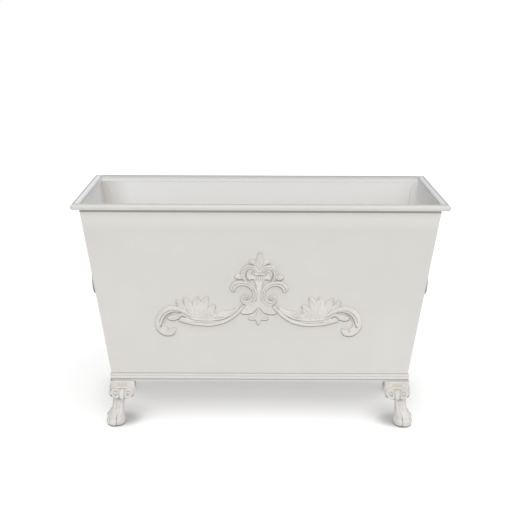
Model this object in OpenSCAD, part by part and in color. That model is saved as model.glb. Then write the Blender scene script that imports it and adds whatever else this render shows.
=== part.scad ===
// Footed trough planter: a tapered sheet-metal box with a rolled rim, a
// moulded base on a flat-bar frame, four cast claw feet, applied scroll
// ornament on both long walls and a drop handle on each end wall.
// Length runs along X, the front faces -Y, and the feet stand on z = 0.

/* [Box] */
// Length over the rim
overall_len = 914; // [800:1:1200]
// Depth over the rim
overall_depth = 406; // [360:1:560]
// Height from the floor to the top of the rim
overall_h = 603; // [560:1:760]
// Lean of every wall from upright, in degrees
wall_lean = 7.25; // [4:0.25:9]
// Thickness of the wall and floor sheet
sheet_t = 1.2; // [0.8:0.1:2]
// Gap round the floor panel inside the walls
floor_gap = 0.4; // [0.2:0.1:1]
// Width of the welded seam flanges inside the corners
flange_w = 16; // [10:1:22]
// Width of the sealant bead along each seam flange
sealant_w = 3; // [2:0.5:5]
// Diameter of a drain hole in the floor panel
drain_d = 12; // [8:0.5:16]
// Distance between drain holes
drain_pitch = 120; // [90:1:140]

/* [Rim] */
// Height of the rolled rim
rim_h = 14; // [11:0.5:17]
// Reach of the rim outside the wall
rim_reach = 18.6; // [14:0.2:24]
// Reach of the rim inside the wall
rim_lip = 0.6; // [0.4:0.1:2]
// Thickness of the rim's sheet
rim_t = 1.2; // [0.8:0.1:1.8]
// Radius on the inner top edge of the rim
rim_edge_r = 4; // [3:0.25:5.5]
// Plan radius at the four rim corners
rim_corner_r = 7; // [3:0.5:10]

/* [Base] */
// Thickness of the frame's flat bar
bar_t = 6; // [4:0.5:8]
// Width of the frame's flat bar
bar_w = 30; // [26:1:36]
// Reach of the frame outside the walls
plinth_reach = 1.5; // [1:0.1:2.5]
// Width of the two braces under the floor panel
brace_w = 25; // [20:1:32]
// Radius of the torus moulding round the base
torus_r = 3.9; // [3.2:0.1:5.2]
// Radius of the bead above the torus
bead_r = 3.5; // [2.6:0.1:4.4]
// Thickness of the strip that carries torus and bead
strip_t = 1.3; // [0.8:0.1:1.6]

/* [Feet] */
// Height of a foot
foot_h = 124; // [112:1:145]
// Half width of the square knee at its widest
knee_half = 34; // [32:0.5:37]
// Reach of the knee outside the frame at its widest
knee_reach = 9; // [7:0.5:11]
// Narrowing of the knee from its widest to its top, on each outer side
knee_taper = 6; // [3:0.5:7]
// Plan radius at the knee's four corners
knee_corner_r = 7; // [5:0.5:10]
// Half length of the paw along its diagonal
paw_half = 25.5; // [23:0.5:28]
// Half width of the paw across its diagonal
paw_side = 23; // [20:0.5:25]
// Diameter of a foot bolt
bolt_d = 8; // [6:0.5:9]
// Clearance of a bolt in its hole, on the diameter
bolt_clearance = 0.4; // [0.2:0.1:0.8]
// Length of bolt inside the foot
bolt_grip = 18; // [14:1:22]
// Diameter of a foot bolt's washer
washer_d = 19; // [17:0.5:20]
// Thickness of a foot bolt's washer
washer_t = 1.6; // [1:0.1:2.5]

/* [Handles] */
// Height of the handle plate's middle above the floor
handle_z = 435; // [420:1:450]
// Distance from the end wall to the handle's pivot
handle_stand = 10.6; // [10:0.2:13]
// Distance from the pivot to the middle of the grip
handle_drop = 100; // [85:1:105]
// Distance between the outer faces of the two lugs
lug_span = 124; // [110:1:150]
// Thickness of a lug
lug_t = 10; // [8:0.5:12]
// Radius of a lug's round top
lug_r = 6.5; // [6:0.25:7.5]
// Thickness of the handle plate
plate_t = 3; // [2:0.25:4]
// Height of the handle plate
plate_h = 26; // [24:1:32]
// Reach of the plate past the lugs at each end
plate_reach = 28; // [26:1:34]
// Diameter of the handle's arms
arm_d = 8; // [7:0.5:9]
// Diameter of the grip at its middle
grip_d = 12; // [10:0.5:14]
// Radius of the bend between an arm and the grip
bend_r = 44; // [36:1:50]
// Diameter of a pivot pin
pin_d = 5; // [4:0.25:5.5]
// Running clearance between pin and handle, on the radius
pin_clearance = 0.08; // [0.05:0.01:0.1]
// Gap between a lug and the handle's eye
eye_gap = 0.3; // [0.2:0.05:0.5]
// Diameter of a plate rivet
rivet_d = 5; // [4:0.5:6]

/* [Ornament] */
// Height above the floor of the ornament's reference line
ornament_z = 333; // [320:1:350]
// Width over the ornament's two curled ends
ornament_w = 522; // [480:2:540]
// Distance of the ornament to the left of the middle
ornament_shift = 3.5; // [0:0.5:10]
// Lean of the crest to the right, in degrees
crest_tilt = 1; // [0:0.25:2]
// Gap between the crest and each scroll
ornament_seam = 0.6; // [0.4:0.1:2]
// Height of the ornament's raised ribs
rib_h = 6.5; // [4:0.5:8]
// Height of the ornament's leaves
leaf_h = 4.5; // [3:0.5:6]
// Height of the ornament's ground between ribs
ground_h = 2.5; // [1.5:0.25:3.5]

/* [Hidden] */
$fn = 64;

paint = [0.86, 0.85, 0.82];
wash = [0.85, 0.82, 0.77];
cast = [0.83, 0.81, 0.76];
steel = [0.62, 0.63, 0.64];
sealant = [0.66, 0.56, 0.42];

// Turn about Z that brings the front's frame to each side
FRONT = 0;
RIGHT = 90;
BACK = 180;
LEFT = 270;

// ---- Box: every distance d is measured outwards from the middle ----
slope = tan(wall_lean);
wall_top = overall_h - rim_h;
floor_z = foot_h + bar_t;
floor_top = floor_z + sheet_t;
sheet_run = sheet_t / cos(wall_lean);
end_extra = (overall_len - overall_depth) / 2;
function is_long(side) = side == FRONT || side == BACK;
function rim_d(side) = (is_long(side) ? overall_depth : overall_len) / 2;
function wall_d(side, z) = rim_d(side) - rim_reach - slope * (wall_top - z);

// A bar along a side, with its outline in (d, z)
module straight(side) {
    rotate([0, 0, side])
        translate([overall_len / 2, 0, 0])
            rotate([90, 0, -90])
                linear_extrude(overall_len)
                    children();
}

// The same bar cut to 45-degree mitres at both ends
module mitred(side) {
    reach = overall_depth / 2 + 1;
    wedge = is_long(side)
        ? [[-end_extra, 0], [end_extra, 0], [end_extra + reach, -reach], [-end_extra - reach, -reach]]
        : [[0, -end_extra], [reach, -end_extra - reach], [-reach, -end_extra - reach]];
    intersection() {
        straight(side) children();
        rotate([0, 0, side])
            linear_extrude(overall_h + 1)
                polygon(wedge);
    }
}

// Outline of a leaning layer of a wall, between two horizontal offsets inwards
module layer(side, z0, z1, outer, inner) {
    polygon([
        [wall_d(side, z0) - outer, z0], [wall_d(side, z1) - outer, z1],
        [wall_d(side, z1) - inner, z1], [wall_d(side, z0) - inner, z0],
    ]);
}

// The frame of a wall's outer face at height z: x across, y up the wall, z outwards
module on_wall(side, z) {
    rotate([0, 0, side])
        translate([0, -wall_d(side, z), z])
            rotate([90 + wall_lean, 0, 0])
                children();
}

module wall_sheet(side) {
    mitred(side)
        layer(side, floor_z, wall_top, 0, sheet_run);
}

module long_wall(side) {
    color(paint) wall_sheet(side);
}

// Outline in (x, z) of a seam flange's free edge, rounded off under the rim.
// grow moves the edge further from the corner.
flange_top = wall_top - 2;
flange_round = 28;
function flange_edge(grow) = [for (a = [0:15:90])
    [flange_w * sin(a) + grow, flange_top - flange_round * (1 - cos(a))]];

// A strip on the inner face of a long wall beside the right-hand corner,
// between two distances from the corner edge
module seam_strip(from_edge, to_edge, outer, inner) {
    z0 = floor_top + floor_gap;
    near = [for (i = [0:len(from_edge) - 1]) from_edge[i]];
    far = [for (i = [len(to_edge) - 1:-1:0]) to_edge[i]];
    foot_near = [near[len(near) - 1].x, z0];
    foot_far = [far[0].x, z0];
    outline = concat(near, [foot_near, foot_far], far);
    intersection() {
        translate([0, overall_depth, 0])
            rotate([90, 0, 0])
                linear_extrude(overall_depth * 2)
                    polygon([for (p = outline) [wall_d(RIGHT, p.y) - sheet_run - p.x, p.y]]);
        straight(FRONT)
            layer(FRONT, z0, wall_top, outer, inner);
    }
}

// The flange starts a little way inside the end wall's sheet and lies just
// clear of the long wall
flange_play = 0.02;
module corner_flange() {
    corner_line = [for (p = flange_edge(0)) [-sheet_t / 4, p.y]];
    seam_strip(corner_line, flange_edge(0), sheet_run + flange_play, 2 * sheet_run);
}

module end_wall(side) {
    color(paint) {
        difference() {
            wall_sheet(side);
            on_wall(side, handle_z)
                each_rivet()
                    translate([0, 0, -2 * sheet_t]) cylinder(d = rivet_d, h = 3 * sheet_t);
        }
        mirror([side == LEFT ? 1 : 0, 0, 0]) {
            corner_flange();
            mirror([0, 1, 0]) corner_flange();
        }
    }
}

module floor_panel() {
    half_x = wall_d(RIGHT, floor_z) - sheet_run - floor_gap;
    half_y = wall_d(FRONT, floor_z) - sheet_run - floor_gap;
    color(paint)
        difference() {
            translate([-half_x, -half_y, floor_z])
                cube([2 * half_x, 2 * half_y, sheet_t]);
            for (i = [-2.5:1:2.5])
                translate([i * drain_pitch, 0, floor_z - 1])
                    cylinder(d = drain_d, h = sheet_t + 2);
            each_foot() each_bolt(floor_z - 1)
                cylinder(d = bolt_d + bolt_clearance, h = sheet_t + 2);
        }
}

// Beads of sealant along the free edges of the four seam flanges
module corner_sealant() {
    color(sealant)
        for (mx = [0, 1], my = [0, 1])
            mirror([mx, 0, 0]) mirror([0, my, 0])
                seam_strip(flange_edge(0), flange_edge(sealant_w), sheet_run, 1.8 * sheet_run);
}

// ---- Rim ----
rim_w = rim_reach + sheet_run + rim_lip;
nose_r = rim_h / 2;

// Outline of the rolled rim in (d, z), drawn inset by t for its hollow
module rim_outline(side, t) {
    inner_d = rim_d(side) - rim_w;
    nose_d = rim_d(side) - nose_r;
    edge_r = rim_edge_r - (t > 0 ? min(t, rim_edge_r - 0.2) : 0);
    translate([nose_d, wall_top + nose_r]) circle(r = nose_r - t);
    translate([inner_d + t, wall_top + t])
        square([nose_d - inner_d - t, rim_h - 2 * t - edge_r]);
    translate([inner_d + t + edge_r, wall_top + t])
        square([nose_d - inner_d - t - edge_r, rim_h - 2 * t]);
    translate([inner_d + t + edge_r, overall_h - t - edge_r]) circle(r = edge_r);
}

module rim(side) {
    half_x = overall_len / 2 - rim_corner_r;
    half_y = overall_depth / 2 - rim_corner_r;
    color(paint)
        intersection() {
            mitred(side)
                difference() {
                    rim_outline(side, 0);
                    rim_outline(side, rim_t);
                }
            linear_extrude(overall_h + 1) {
                square([overall_len, 2 * half_y], center = true);
                square([2 * half_x, overall_depth], center = true);
                for (x = [-half_x, half_x], y = [-half_y, half_y])
                    translate([x, y]) circle(r = rim_corner_r);
            }
        }
}

// ---- Base ----
torus_z = floor_z + torus_r;
bead_z = floor_z + 2 * torus_r + bead_r - 0.3;

module moulding(side) {
    color(paint)
        mitred(side)
            difference() {
                union() {
                    translate([wall_d(side, torus_z) + strip_t, torus_z]) circle(r = torus_r);
                    translate([wall_d(side, bead_z) + strip_t / 2, bead_z]) circle(r = bead_r);
                    layer(side, floor_z, bead_z, -strip_t, 0);
                }
                layer(side, floor_z - 1, wall_top, 0, 2 * torus_r);
            }
}

function frame_d(side) = wall_d(side, floor_z) + plinth_reach;

module frame_bar(side) {
    color(paint)
        difference() {
            mitred(side)
                translate([frame_d(side) - bar_w, foot_h])
                    square([bar_w, bar_t]);
            each_foot() each_bolt(foot_h - 1)
                cylinder(d = bolt_d + bolt_clearance, h = bar_t + 2);
        }
}

// The braces cross the frame half way between two pairs of drain holes
module floor_brace(x) {
    half_y = frame_d(FRONT) - bar_w;
    color(paint)
        translate([x - brace_w / 2, -half_y, foot_h])
            cube([brace_w, 2 * half_y, bar_t]);
}

// ---- Feet ----
knee_x = frame_d(RIGHT) + knee_reach - knee_half;
knee_y = frame_d(FRONT) + knee_reach - knee_half;

module each_foot() {
    for (mx = [0, 1], my = [0, 1])
        mirror([mx, 0, 0]) mirror([0, my, 0]) children();
}

// The two bolts of the right rear foot stand on the middles of the frame's bars
bolt_out = bar_w / 2;
bolt_in = knee_half * 0.52;
module each_bolt(z) {
    translate([frame_d(RIGHT) - bolt_out, knee_y - bolt_in, z]) children();
    translate([knee_x - bolt_in, frame_d(FRONT) - bolt_out, z]) children();
}

// Stations up the foot, from the floor: height as a share of foot_h, shift of
// the middle outwards along x and y, squareness from 0 to 1, half length and
// half width, and the depth of the grooves between the toes
foot_stations = [
    [0.00, 18, 0, paw_half - 3.5, paw_side - 3.5, 0.10],
    [0.04, 18.5, 0, paw_half - 1, paw_side - 1, 0.14],
    [0.14, 18.5, 0, paw_half, paw_side, 0.16],
    [0.24, 17.5, 0, paw_half - 2, paw_side - 2, 0.14],
    [0.32, 14.5, 0, paw_half - 6.5, paw_side - 4.5, 0.08],
    [0.40, 12, 0, paw_half - 10.5, paw_side - 7.5, 0.06],
    [0.50, 11.5, 0, paw_half - 11, paw_side - 8, 0.05],
    [0.57, 10, 0.1, paw_half - 8.5, paw_side - 5, 0.03],
    [0.64, 6, 0.6, knee_half - 10, knee_half - 10, 0],
    [0.71, 0.5, 1, knee_half - 1, knee_half - 1, 0],
    [0.78, 0, 1, knee_half, knee_half, 0],
    [0.90, -knee_taper / 4, 1, knee_half - knee_taper / 4, knee_half - knee_taper / 4, 0],
    [1.00, -knee_taper / 2, 1, knee_half - knee_taper / 2, knee_half - knee_taper / 2, 0],
];
foot_rings = 24;
corner_points = 10;
foot_sides = 4 * corner_points;

function mix(a, b, t) = a + (b - a) * t;
function ease(t) = t * t * (3 - 2 * t);

// Values of the stations at a share s of the height
function station(s) =
    let (last = len(foot_stations) - 2,
         i = max([for (k = [0:last]) foot_stations[k][0] <= s ? k : 0]),
         a = foot_stations[i],
         b = foot_stations[i + 1],
         t = ease(min(1, (s - a[0]) / (b[0] - a[0]))))
    [s, for (k = [1:5]) mix(a[k], b[k], t)];

// Point k on a square with rounded corners that follows x and y
function square_point(half, k) =
    let (corner = 45 + 90 * floor(k / corner_points),
         turn = corner - 45 + 90 * (k % corner_points) / (corner_points - 1),
         reach = (half - knee_corner_r) * sqrt(2))
    [reach * cos(corner) + knee_corner_r * cos(turn), reach * sin(corner) + knee_corner_r * sin(turn)];

// Distance of an ellipse along the diagonal from its middle at an angle
function oval_r(long, across, a) =
    1 / sqrt(pow(cos(a - 45) / long, 2) + pow(sin(a - 45) / across, 2));

// Grooves between four toes that fan out round the diagonal
function toe_groove(a) =
    let (d = ((a - 45 + 540) % 360) - 180)
    abs(d) > 84 ? 0 : pow(0.5 + 0.5 * cos(d * 360 / 42), 3);

function foot_ring(s) =
    let (v = station(s))
    [for (k = [0:foot_sides - 1])
        let (a = (k + 0.5) * 360 / foot_sides,
             r = oval_r(v[3], v[4], a) * (1 - v[5] * toe_groove(a)),
             p = mix([r * cos(a), r * sin(a)], square_point(v[3], k), v[2]))
        [v[1] + p.x, v[1] + p.y, s * foot_h]];

// The casting of the foot at +x, +y, standing about its knee's middle
module foot_casting() {
    rings = [for (i = [0:foot_rings]) foot_ring(i / foot_rings)];
    n = foot_sides;
    faces = concat(
        [[for (k = [0:n - 1]) k]],
        [for (i = [0:foot_rings - 1], k = [0:n - 1])
            let (a = i * n + k, b = i * n + (k + 1) % n) each [[a, a + n, b], [b, a + n, b + n]]],
        [[for (k = [n - 1:-1:0]) foot_rings * n + k]]
    );
    polyhedron([for (ring = rings) each ring], faces);
}

module foot(mx, my) {
    color(cast)
        mirror([mx, 0, 0]) mirror([0, my, 0])
            difference() {
                translate([knee_x, knee_y, 0]) foot_casting();
                each_bolt(foot_h - bolt_grip - 2)
                    cylinder(d = bolt_d + bolt_clearance, h = bolt_grip + 3);
            }
}

module foot_bolts() {
    head_h = 0.65 * bolt_d;
    head_d = 1.85 * bolt_d;
    color(steel)
        each_foot() {
            each_bolt(foot_h - bolt_grip)
                cylinder(d = bolt_d, h = bolt_grip + bar_t + sheet_t + washer_t + 0.5);
            each_bolt(floor_top + washer_t)
                cylinder(d = head_d, h = head_h, $fn = 6);
        }
}

module foot_washers() {
    color(steel)
        each_foot()
            each_bolt(floor_top)
                difference() {
                    cylinder(d = washer_d, h = washer_t);
                    translate([0, 0, -1])
                        cylinder(d = bolt_d + bolt_clearance, h = washer_t + 2);
                }
}

// ---- Handles ----
pivot_d = wall_d(RIGHT, handle_z) + handle_stand * cos(wall_lean);
pivot_z = handle_z - handle_stand * sin(wall_lean);
lug_x = lug_span / 2 - lug_t;
eye_x = lug_span / 2 + eye_gap;
plate_len = lug_span + 2 * plate_reach;
rivet_x = [lug_span / 2 + plate_reach - plate_h / 2, lug_x - plate_h / 2];

// A cylinder along the pivot's axis, from x0 outwards
module axle(x0, h, d) {
    translate([x0, 0, 0]) rotate([0, 90, 0]) cylinder(d = d, h = h);
}

module both_ends() {
    children();
    mirror([1, 0, 0]) children();
}

module each_rivet() {
    both_ends()
        for (x = rivet_x) translate([x, 0, 0]) children();
}

module handle_plate(side) {
    color(cast)
        on_wall(side, handle_z)
            difference() {
                union() {
                    linear_extrude(plate_t) {
                        square([plate_len - plate_h, plate_h], center = true);
                        both_ends() translate([plate_len / 2 - plate_h / 2, 0]) circle(d = plate_h);
                    }
                    both_ends() {
                        translate([lug_x, -lug_r, plate_t / 2])
                            cube([lug_t, 2 * lug_r, handle_stand - plate_t / 2]);
                        translate([0, 0, handle_stand]) axle(lug_x, lug_t, 2 * lug_r);
                    }
                }
                both_ends()
                    translate([0, 0, handle_stand]) axle(lug_x - 1, lug_t + 2, pin_d);
                each_rivet()
                    translate([0, 0, -1]) cylinder(d = rivet_d, h = plate_t + 2);
            }
}

// One rivet with a domed head on the plate and a flat head inside the wall
module rivet() {
    head_r = rivet_d;
    translate([0, 0, plate_t])
        intersection() {
            translate([0, 0, -head_r * 0.6]) sphere(r = head_r * 1.16);
            cylinder(r = head_r, h = head_r);
        }
    translate([0, 0, -sheet_t - 1]) cylinder(d = rivet_d, h = sheet_t + plate_t + 1.5);
    translate([0, 0, -sheet_t - 1.5]) cylinder(r = head_r, h = 1.5);
}

module handle_rivets(side) {
    color(steel)
        on_wall(side, handle_z)
            each_rivet() rivet();
}

// Pivot pins: a head outside the eye, the shank and a peened end inside the lug
module handle_pins(side) {
    color(steel)
        on_wall(side, handle_z)
            translate([0, 0, handle_stand])
                both_ends() {
                    axle(lug_x - 0.5, lug_t + eye_gap + arm_d + 1.2, pin_d);
                    axle(lug_x - 1.5, 1.5, pin_d + 3);
                    axle(eye_x + arm_d + eye_gap, 2, pin_d + 4);
                }
}

// The swelling of the grip, drawn from its middle to its end
module grip_outline(half) {
    steps = 12;
    swell = (grip_d - arm_d) / 2;
    side_line = [for (i = [-steps:steps]) let (t = i / steps)
        [arm_d / 2 + swell * pow(cos(t * 90), 1.4), t * half]];
    polygon(concat([[0, -half]], side_line, [[0, half]]));
}

// The bail hangs upright from the pivot; local x is along the pivot
module handle_bail(side) {
    arm_x = eye_x + arm_d / 2;
    grip_half = arm_x - bend_r;
    color(cast)
        rotate([0, 0, side])
            translate([0, -pivot_d, pivot_z])
                difference() {
                    union() {
                        both_ends() {
                            axle(eye_x, arm_d, 2 * lug_r);
                            translate([arm_x, 0, bend_r - handle_drop])
                                cylinder(d = arm_d, h = handle_drop - bend_r);
                            translate([grip_half, 0, bend_r - handle_drop])
                                rotate([90, 90, 0])
                                    rotate_extrude(angle = 90)
                                        translate([bend_r, 0]) circle(d = arm_d);
                        }
                        translate([0, 0, -handle_drop])
                            rotate([0, 90, 0])
                                rotate_extrude() grip_outline(grip_half);
                    }
                    both_ends()
                        axle(eye_x - 1, arm_d + 2, pin_d + 2 * pin_clearance);
                }
}

// ---- Ornament: drawn on the wall, x from its middle, y from its reference line ----

// Points on a smooth curve through p, where each point may carry a half width
function spline(p, steps) =
    let (n = len(p) - 1)
    [for (i = [0:n - 1], k = [0:steps - 1])
        let (a = p[max(0, i - 1)], b = p[i], c = p[i + 1], d = p[min(n, i + 2)], t = k / steps)
        (2 * b + (c - a) * t + (2 * a - 5 * b + 4 * c - d) * t * t
            + (3 * b - a - 3 * c + d) * t * t * t) / 2,
     p[n]];

function unit(v) = v / norm(v);

// Both edges of a band whose half width is the third number of each point
function band(path) =
    let (n = len(path) - 1,
         dir = [for (i = [0:n]) unit([
             path[min(n, i + 1)].x - path[max(0, i - 1)].x,
             path[min(n, i + 1)].y - path[max(0, i - 1)].y])])
    concat(
        [for (i = [0:n]) [path[i].x - dir[i].y * path[i].z, path[i].y + dir[i].x * path[i].z]],
        [for (i = [n:-1:0]) [path[i].x + dir[i].y * path[i].z, path[i].y - dir[i].x * path[i].z]]);

// The outlines below are drawn on an ornament of this width, and sized from it
drawn_w = 522;
ornament_scale = ornament_w / drawn_w;
function sized(points) = [for (p = points) ornament_scale * p];

module rib(points, h, steps = 4) {
    linear_extrude(h) polygon(band(spline(sized(points), steps)));
}

// Stem of the scroll from the crest to its far end: x, y, half width
stem = [[38, 2, 3.5], [50, -12.5, 4.3], [66, -28, 4.5], [88, -41, 4.5], [118, -48.5, 4.5],
        [150, -47.5, 4.5], [174, -44, 4.5], [190, -38, 5.5], [198, -33, 4]];
// Where the stem parts from the crest
stem_split = 46 * ornament_scale;
module crest_side() {
    translate([-2 * stem_split, -stem_split, -1])
        cube([3 * stem_split, 2 * stem_split, rib_h + 2]);
}

// The upper moulding that runs beside the stem
upper_stem = [[60, -19, 2.5], [80, -31, 3.5], [106, -38.5, 4.5], [140, -39.5, 5], [170, -34, 6.5],
              [188, -24, 6.5]];
// The curled end
curl = [[184, -17, 6], [200, -9, 8.5], [219, -8, 10], [238, -19, 11.5], [249, -40, 12],
        [247, -58, 12], [235, -70, 11], [221, -71, 9], [212.5, -63, 3]];
// The short leaf inside the curl
inner_leaf = [[190, -24, 5], [203, -28, 7], [215, -31, 7.5], [224, -31, 5.5], [227, -30, 3]];
// Leaves that fan up from the stem, and a long one beside the crest
leaves = [
    [[182, -30, 6], [190, -10, 8], [196, 6, 7.5], [196, 18, 3]],
    [[168, -34, 6], [173, -10, 8.5], [178, 8, 7.5], [179, 20, 3]],
    [[152, -36, 7], [153, -8, 10], [155, 10, 9], [153, 24, 3.5]],
    [[138, -36, 6], [136, -12, 8.5], [134, 8, 8.5], [131, 25, 4]],
    [[122, -36, 6], [118, -18, 8], [115, -6, 7], [112, 2, 3.5]],
    [[58, -12, 5], [74, -19, 8.5], [90, -21, 9.5], [103, -25, 6], [108, -28, 2]],
];
// Ground that joins the leaves low down
leaf_ground = [[96, -34], [106, -22], [124, -4], [158, 6], [184, 0], [198, -10], [190, -28],
               [150, -42], [118, -42]];

module scroll() {
    difference() {
        rib(stem, rib_h);
        translate([ornament_seam, 0, 0]) crest_side();
    }
    rib(upper_stem, leaf_h);
    rib(curl, rib_h);
    rib(inner_leaf, leaf_h);
    for (i = [0:len(leaves) - 1])
        rib(leaves[i], leaf_h - 0.4 * (1 + i % 2));
    linear_extrude(ground_h) polygon(sized(leaf_ground));
}

// Parts of the crest, right half: the upper scroll that closes the heart
heart = [[12, 96, 4], [13, 103, 5], [20, 108.5, 5.5], [30, 107, 6], [38, 99, 6], [41, 89, 5.5],
         [38, 79, 4.5], [33, 71, 3]];
side_stub = [[40, 86, 6], [49, 83, 8.5], [57, 81, 5]];
side_leaf = [[8, 111, 4], [14, 119, 6], [20, 124, 5], [25, 124, 1.5]];
big_scroll = [[63, 43, 4], [64.5, 52, 8], [57, 61.5, 8], [44, 64.5, 6.8], [30, 62.5, 6.5],
              [18, 54, 6.3], [11, 42, 5.8], [10.5, 30, 5.8], [16, 17.5, 7], [27, 11.5, 6.5],
              [38, 15, 6], [41, 23.5, 5], [35, 29.5, 3.5], [30, 27, 3]];
bow = [[-1, 89.5, 3.5], [9, 90, 4.5], [18, 90, 2]];
bud = [[0, 104, 7], [0, 120, 10], [0, 134, 8], [0, 148, 1]];
valance = [[0, 20], [20, 12], [37, 6], [46, -7], [46, -17], [40, -21], [26, -21.5],
           [14, -17], [6, -8], [0, 1]];
drop = [[0, 4, 2], [0, -14, 3.5], [0, -32, 7], [0, -42, 5], [0, -50, 1]];
drop_arm = [[3, -32.5, 3.5], [14, -34, 3], [24, -32.5, 1.5]];
// The plates behind the heart and along the middle
heart_plate = [[-30, 74], [30, 74], [34, 92], [28, 104], [12, 112], [0, 120], [-12, 112],
               [-28, 104], [-34, 92]];
spine_plate = [[-7, 16], [7, 16], [7, 56], [14, 78], [-14, 78], [-7, 56]];

module crest() {
    both_ends() {
        rib(heart, rib_h);
        rib(side_stub, leaf_h);
        rib(side_leaf, leaf_h);
        rib(bow, leaf_h);
        rib(big_scroll, rib_h - 0.2);
        rib(drop_arm, leaf_h - 0.4);
        intersection() {
            rib(stem, rib_h);
            crest_side();
        }
    }
    valance_left = [for (i = [len(valance) - 2:-1:1]) [-valance[i].x, valance[i].y]];
    linear_extrude(ground_h) polygon(sized(concat(valance, valance_left)));
    rib(bud, rib_h - 0.6);
    rib(drop, leaf_h + 0.4);
    linear_extrude(ground_h + 0.4) polygon(sized(heart_plate));
    linear_extrude(ground_h + 0.8) polygon(sized(spine_plate));
}

module ornament(side) {
    color(wash)
        on_wall(side, ornament_z)
            translate([-ornament_shift, 0, 0])
                children();
}

module crest_on(side) {
    ornament(side) rotate([0, 0, -crest_tilt]) crest();
}

module scroll_on(side, mirrored) {
    ornament(side) mirror([mirrored, 0, 0]) scroll();
}

long_wall(FRONT);  // front_wall
long_wall(BACK);  // back_wall
end_wall(LEFT);  // left_end_wall
end_wall(RIGHT);  // right_end_wall
floor_panel();
corner_sealant();
rim(FRONT);  // rim_front
rim(BACK);  // rim_back
rim(LEFT);  // rim_left
rim(RIGHT);  // rim_right
moulding(FRONT);  // moulding_front
moulding(BACK);  // moulding_back
moulding(LEFT);  // moulding_left
moulding(RIGHT);  // moulding_right
frame_bar(FRONT);  // frame_bar_front
frame_bar(BACK);  // frame_bar_back
frame_bar(LEFT);  // frame_bar_left
frame_bar(RIGHT);  // frame_bar_right
floor_brace(-drain_pitch);  // floor_brace_left
floor_brace(drain_pitch);  // floor_brace_right
foot(1, 1);  // foot_front_left
foot(0, 1);  // foot_front_right
foot(1, 0);  // foot_back_left
foot(0, 0);  // foot_back_right
foot_bolts();
foot_washers();
handle_plate(LEFT);  // left_handle_plate
handle_rivets(LEFT);  // left_handle_rivets
handle_pins(LEFT);  // left_handle_pins
handle_bail(LEFT);  // left_handle_bail
handle_plate(RIGHT);  // right_handle_plate
handle_rivets(RIGHT);  // right_handle_rivets
handle_pins(RIGHT);  // right_handle_pins
handle_bail(RIGHT);  // right_handle_bail
crest_on(FRONT);  // crest_front
scroll_on(FRONT, 1);  // scroll_front_left
scroll_on(FRONT, 0);  // scroll_front_right
crest_on(BACK);  // crest_back
scroll_on(BACK, 1);  // scroll_back_left
scroll_on(BACK, 0);  // scroll_back_right
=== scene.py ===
import math

import bpy
import numpy as np
from mathutils import Matrix, Vector


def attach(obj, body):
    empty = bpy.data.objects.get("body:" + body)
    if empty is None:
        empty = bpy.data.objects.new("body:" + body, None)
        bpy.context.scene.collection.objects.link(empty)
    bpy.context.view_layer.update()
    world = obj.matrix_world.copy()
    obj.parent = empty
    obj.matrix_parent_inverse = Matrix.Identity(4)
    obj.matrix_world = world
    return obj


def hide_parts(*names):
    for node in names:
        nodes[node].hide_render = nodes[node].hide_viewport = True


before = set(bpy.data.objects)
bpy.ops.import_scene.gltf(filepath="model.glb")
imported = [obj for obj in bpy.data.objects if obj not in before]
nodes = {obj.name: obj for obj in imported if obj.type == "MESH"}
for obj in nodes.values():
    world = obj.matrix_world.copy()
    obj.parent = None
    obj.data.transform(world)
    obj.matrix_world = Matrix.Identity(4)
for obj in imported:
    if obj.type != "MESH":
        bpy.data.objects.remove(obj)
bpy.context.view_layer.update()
mm = 0.001

# The trough's sizes in mm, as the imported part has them
trough = {
    "length": 914, "depth": 406, "height": 603, "lean": 7.25,
    "rimHeight": 14, "rimReach": 18.6, "cornerRadius": 7,
    "footHeight": 124, "barThickness": 6, "plinthReach": 1.5, "torusRadius": 3.9,
}
halfLength, halfDepth = trough["length"] / 2, trough["depth"] / 2
wallTop = trough["height"] - trough["rimHeight"]
barTop = trough["footHeight"] + trough["barThickness"]
slope = math.tan(math.radians(trough["lean"]))
sideTurn = {"front": 0, "right": 90, "back": 180, "left": 270}


def wallDistance(side, height):  # from the middle out to a wall's outer face
    half = halfDepth if side in ("front", "back") else halfLength
    return half - trough["rimReach"] - slope * (wallTop - height)


def onWall(side, height):  # x across the wall, y up it, z outwards, all in mm
    return (Matrix.Scale(mm, 4)
            @ Matrix.Rotation(math.radians(sideTurn[side]), 4, "Z")
            @ Matrix.Translation((0, -wallDistance(side, height), height))
            @ Matrix.Rotation(math.radians(90 + trough["lean"]), 4, "X"))


class Wire:  # a socket that takes part in Python expressions
    def __init__(self, bench, socket):
        self.bench = bench
        self.socket = socket

    def math(self, operation, *values):
        return self.bench.node("ShaderNodeMath", {"operation": operation}, dict(enumerate(values)))

    def __add__(self, other): return self.math("ADD", self, other)
    def __radd__(self, other): return self.math("ADD", other, self)
    def __sub__(self, other): return self.math("SUBTRACT", self, other)
    def __rsub__(self, other): return self.math("SUBTRACT", other, self)
    def __mul__(self, other): return self.math("MULTIPLY", self, other)
    def __rmul__(self, other): return self.math("MULTIPLY", other, self)
    def __truediv__(self, other): return self.math("DIVIDE", self, other)
    def __pow__(self, other): return self.math("POWER", self, other)
    def __abs__(self): return self.math("ABSOLUTE", self)
    def larger(self, other): return self.math("MAXIMUM", self, other)


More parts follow.
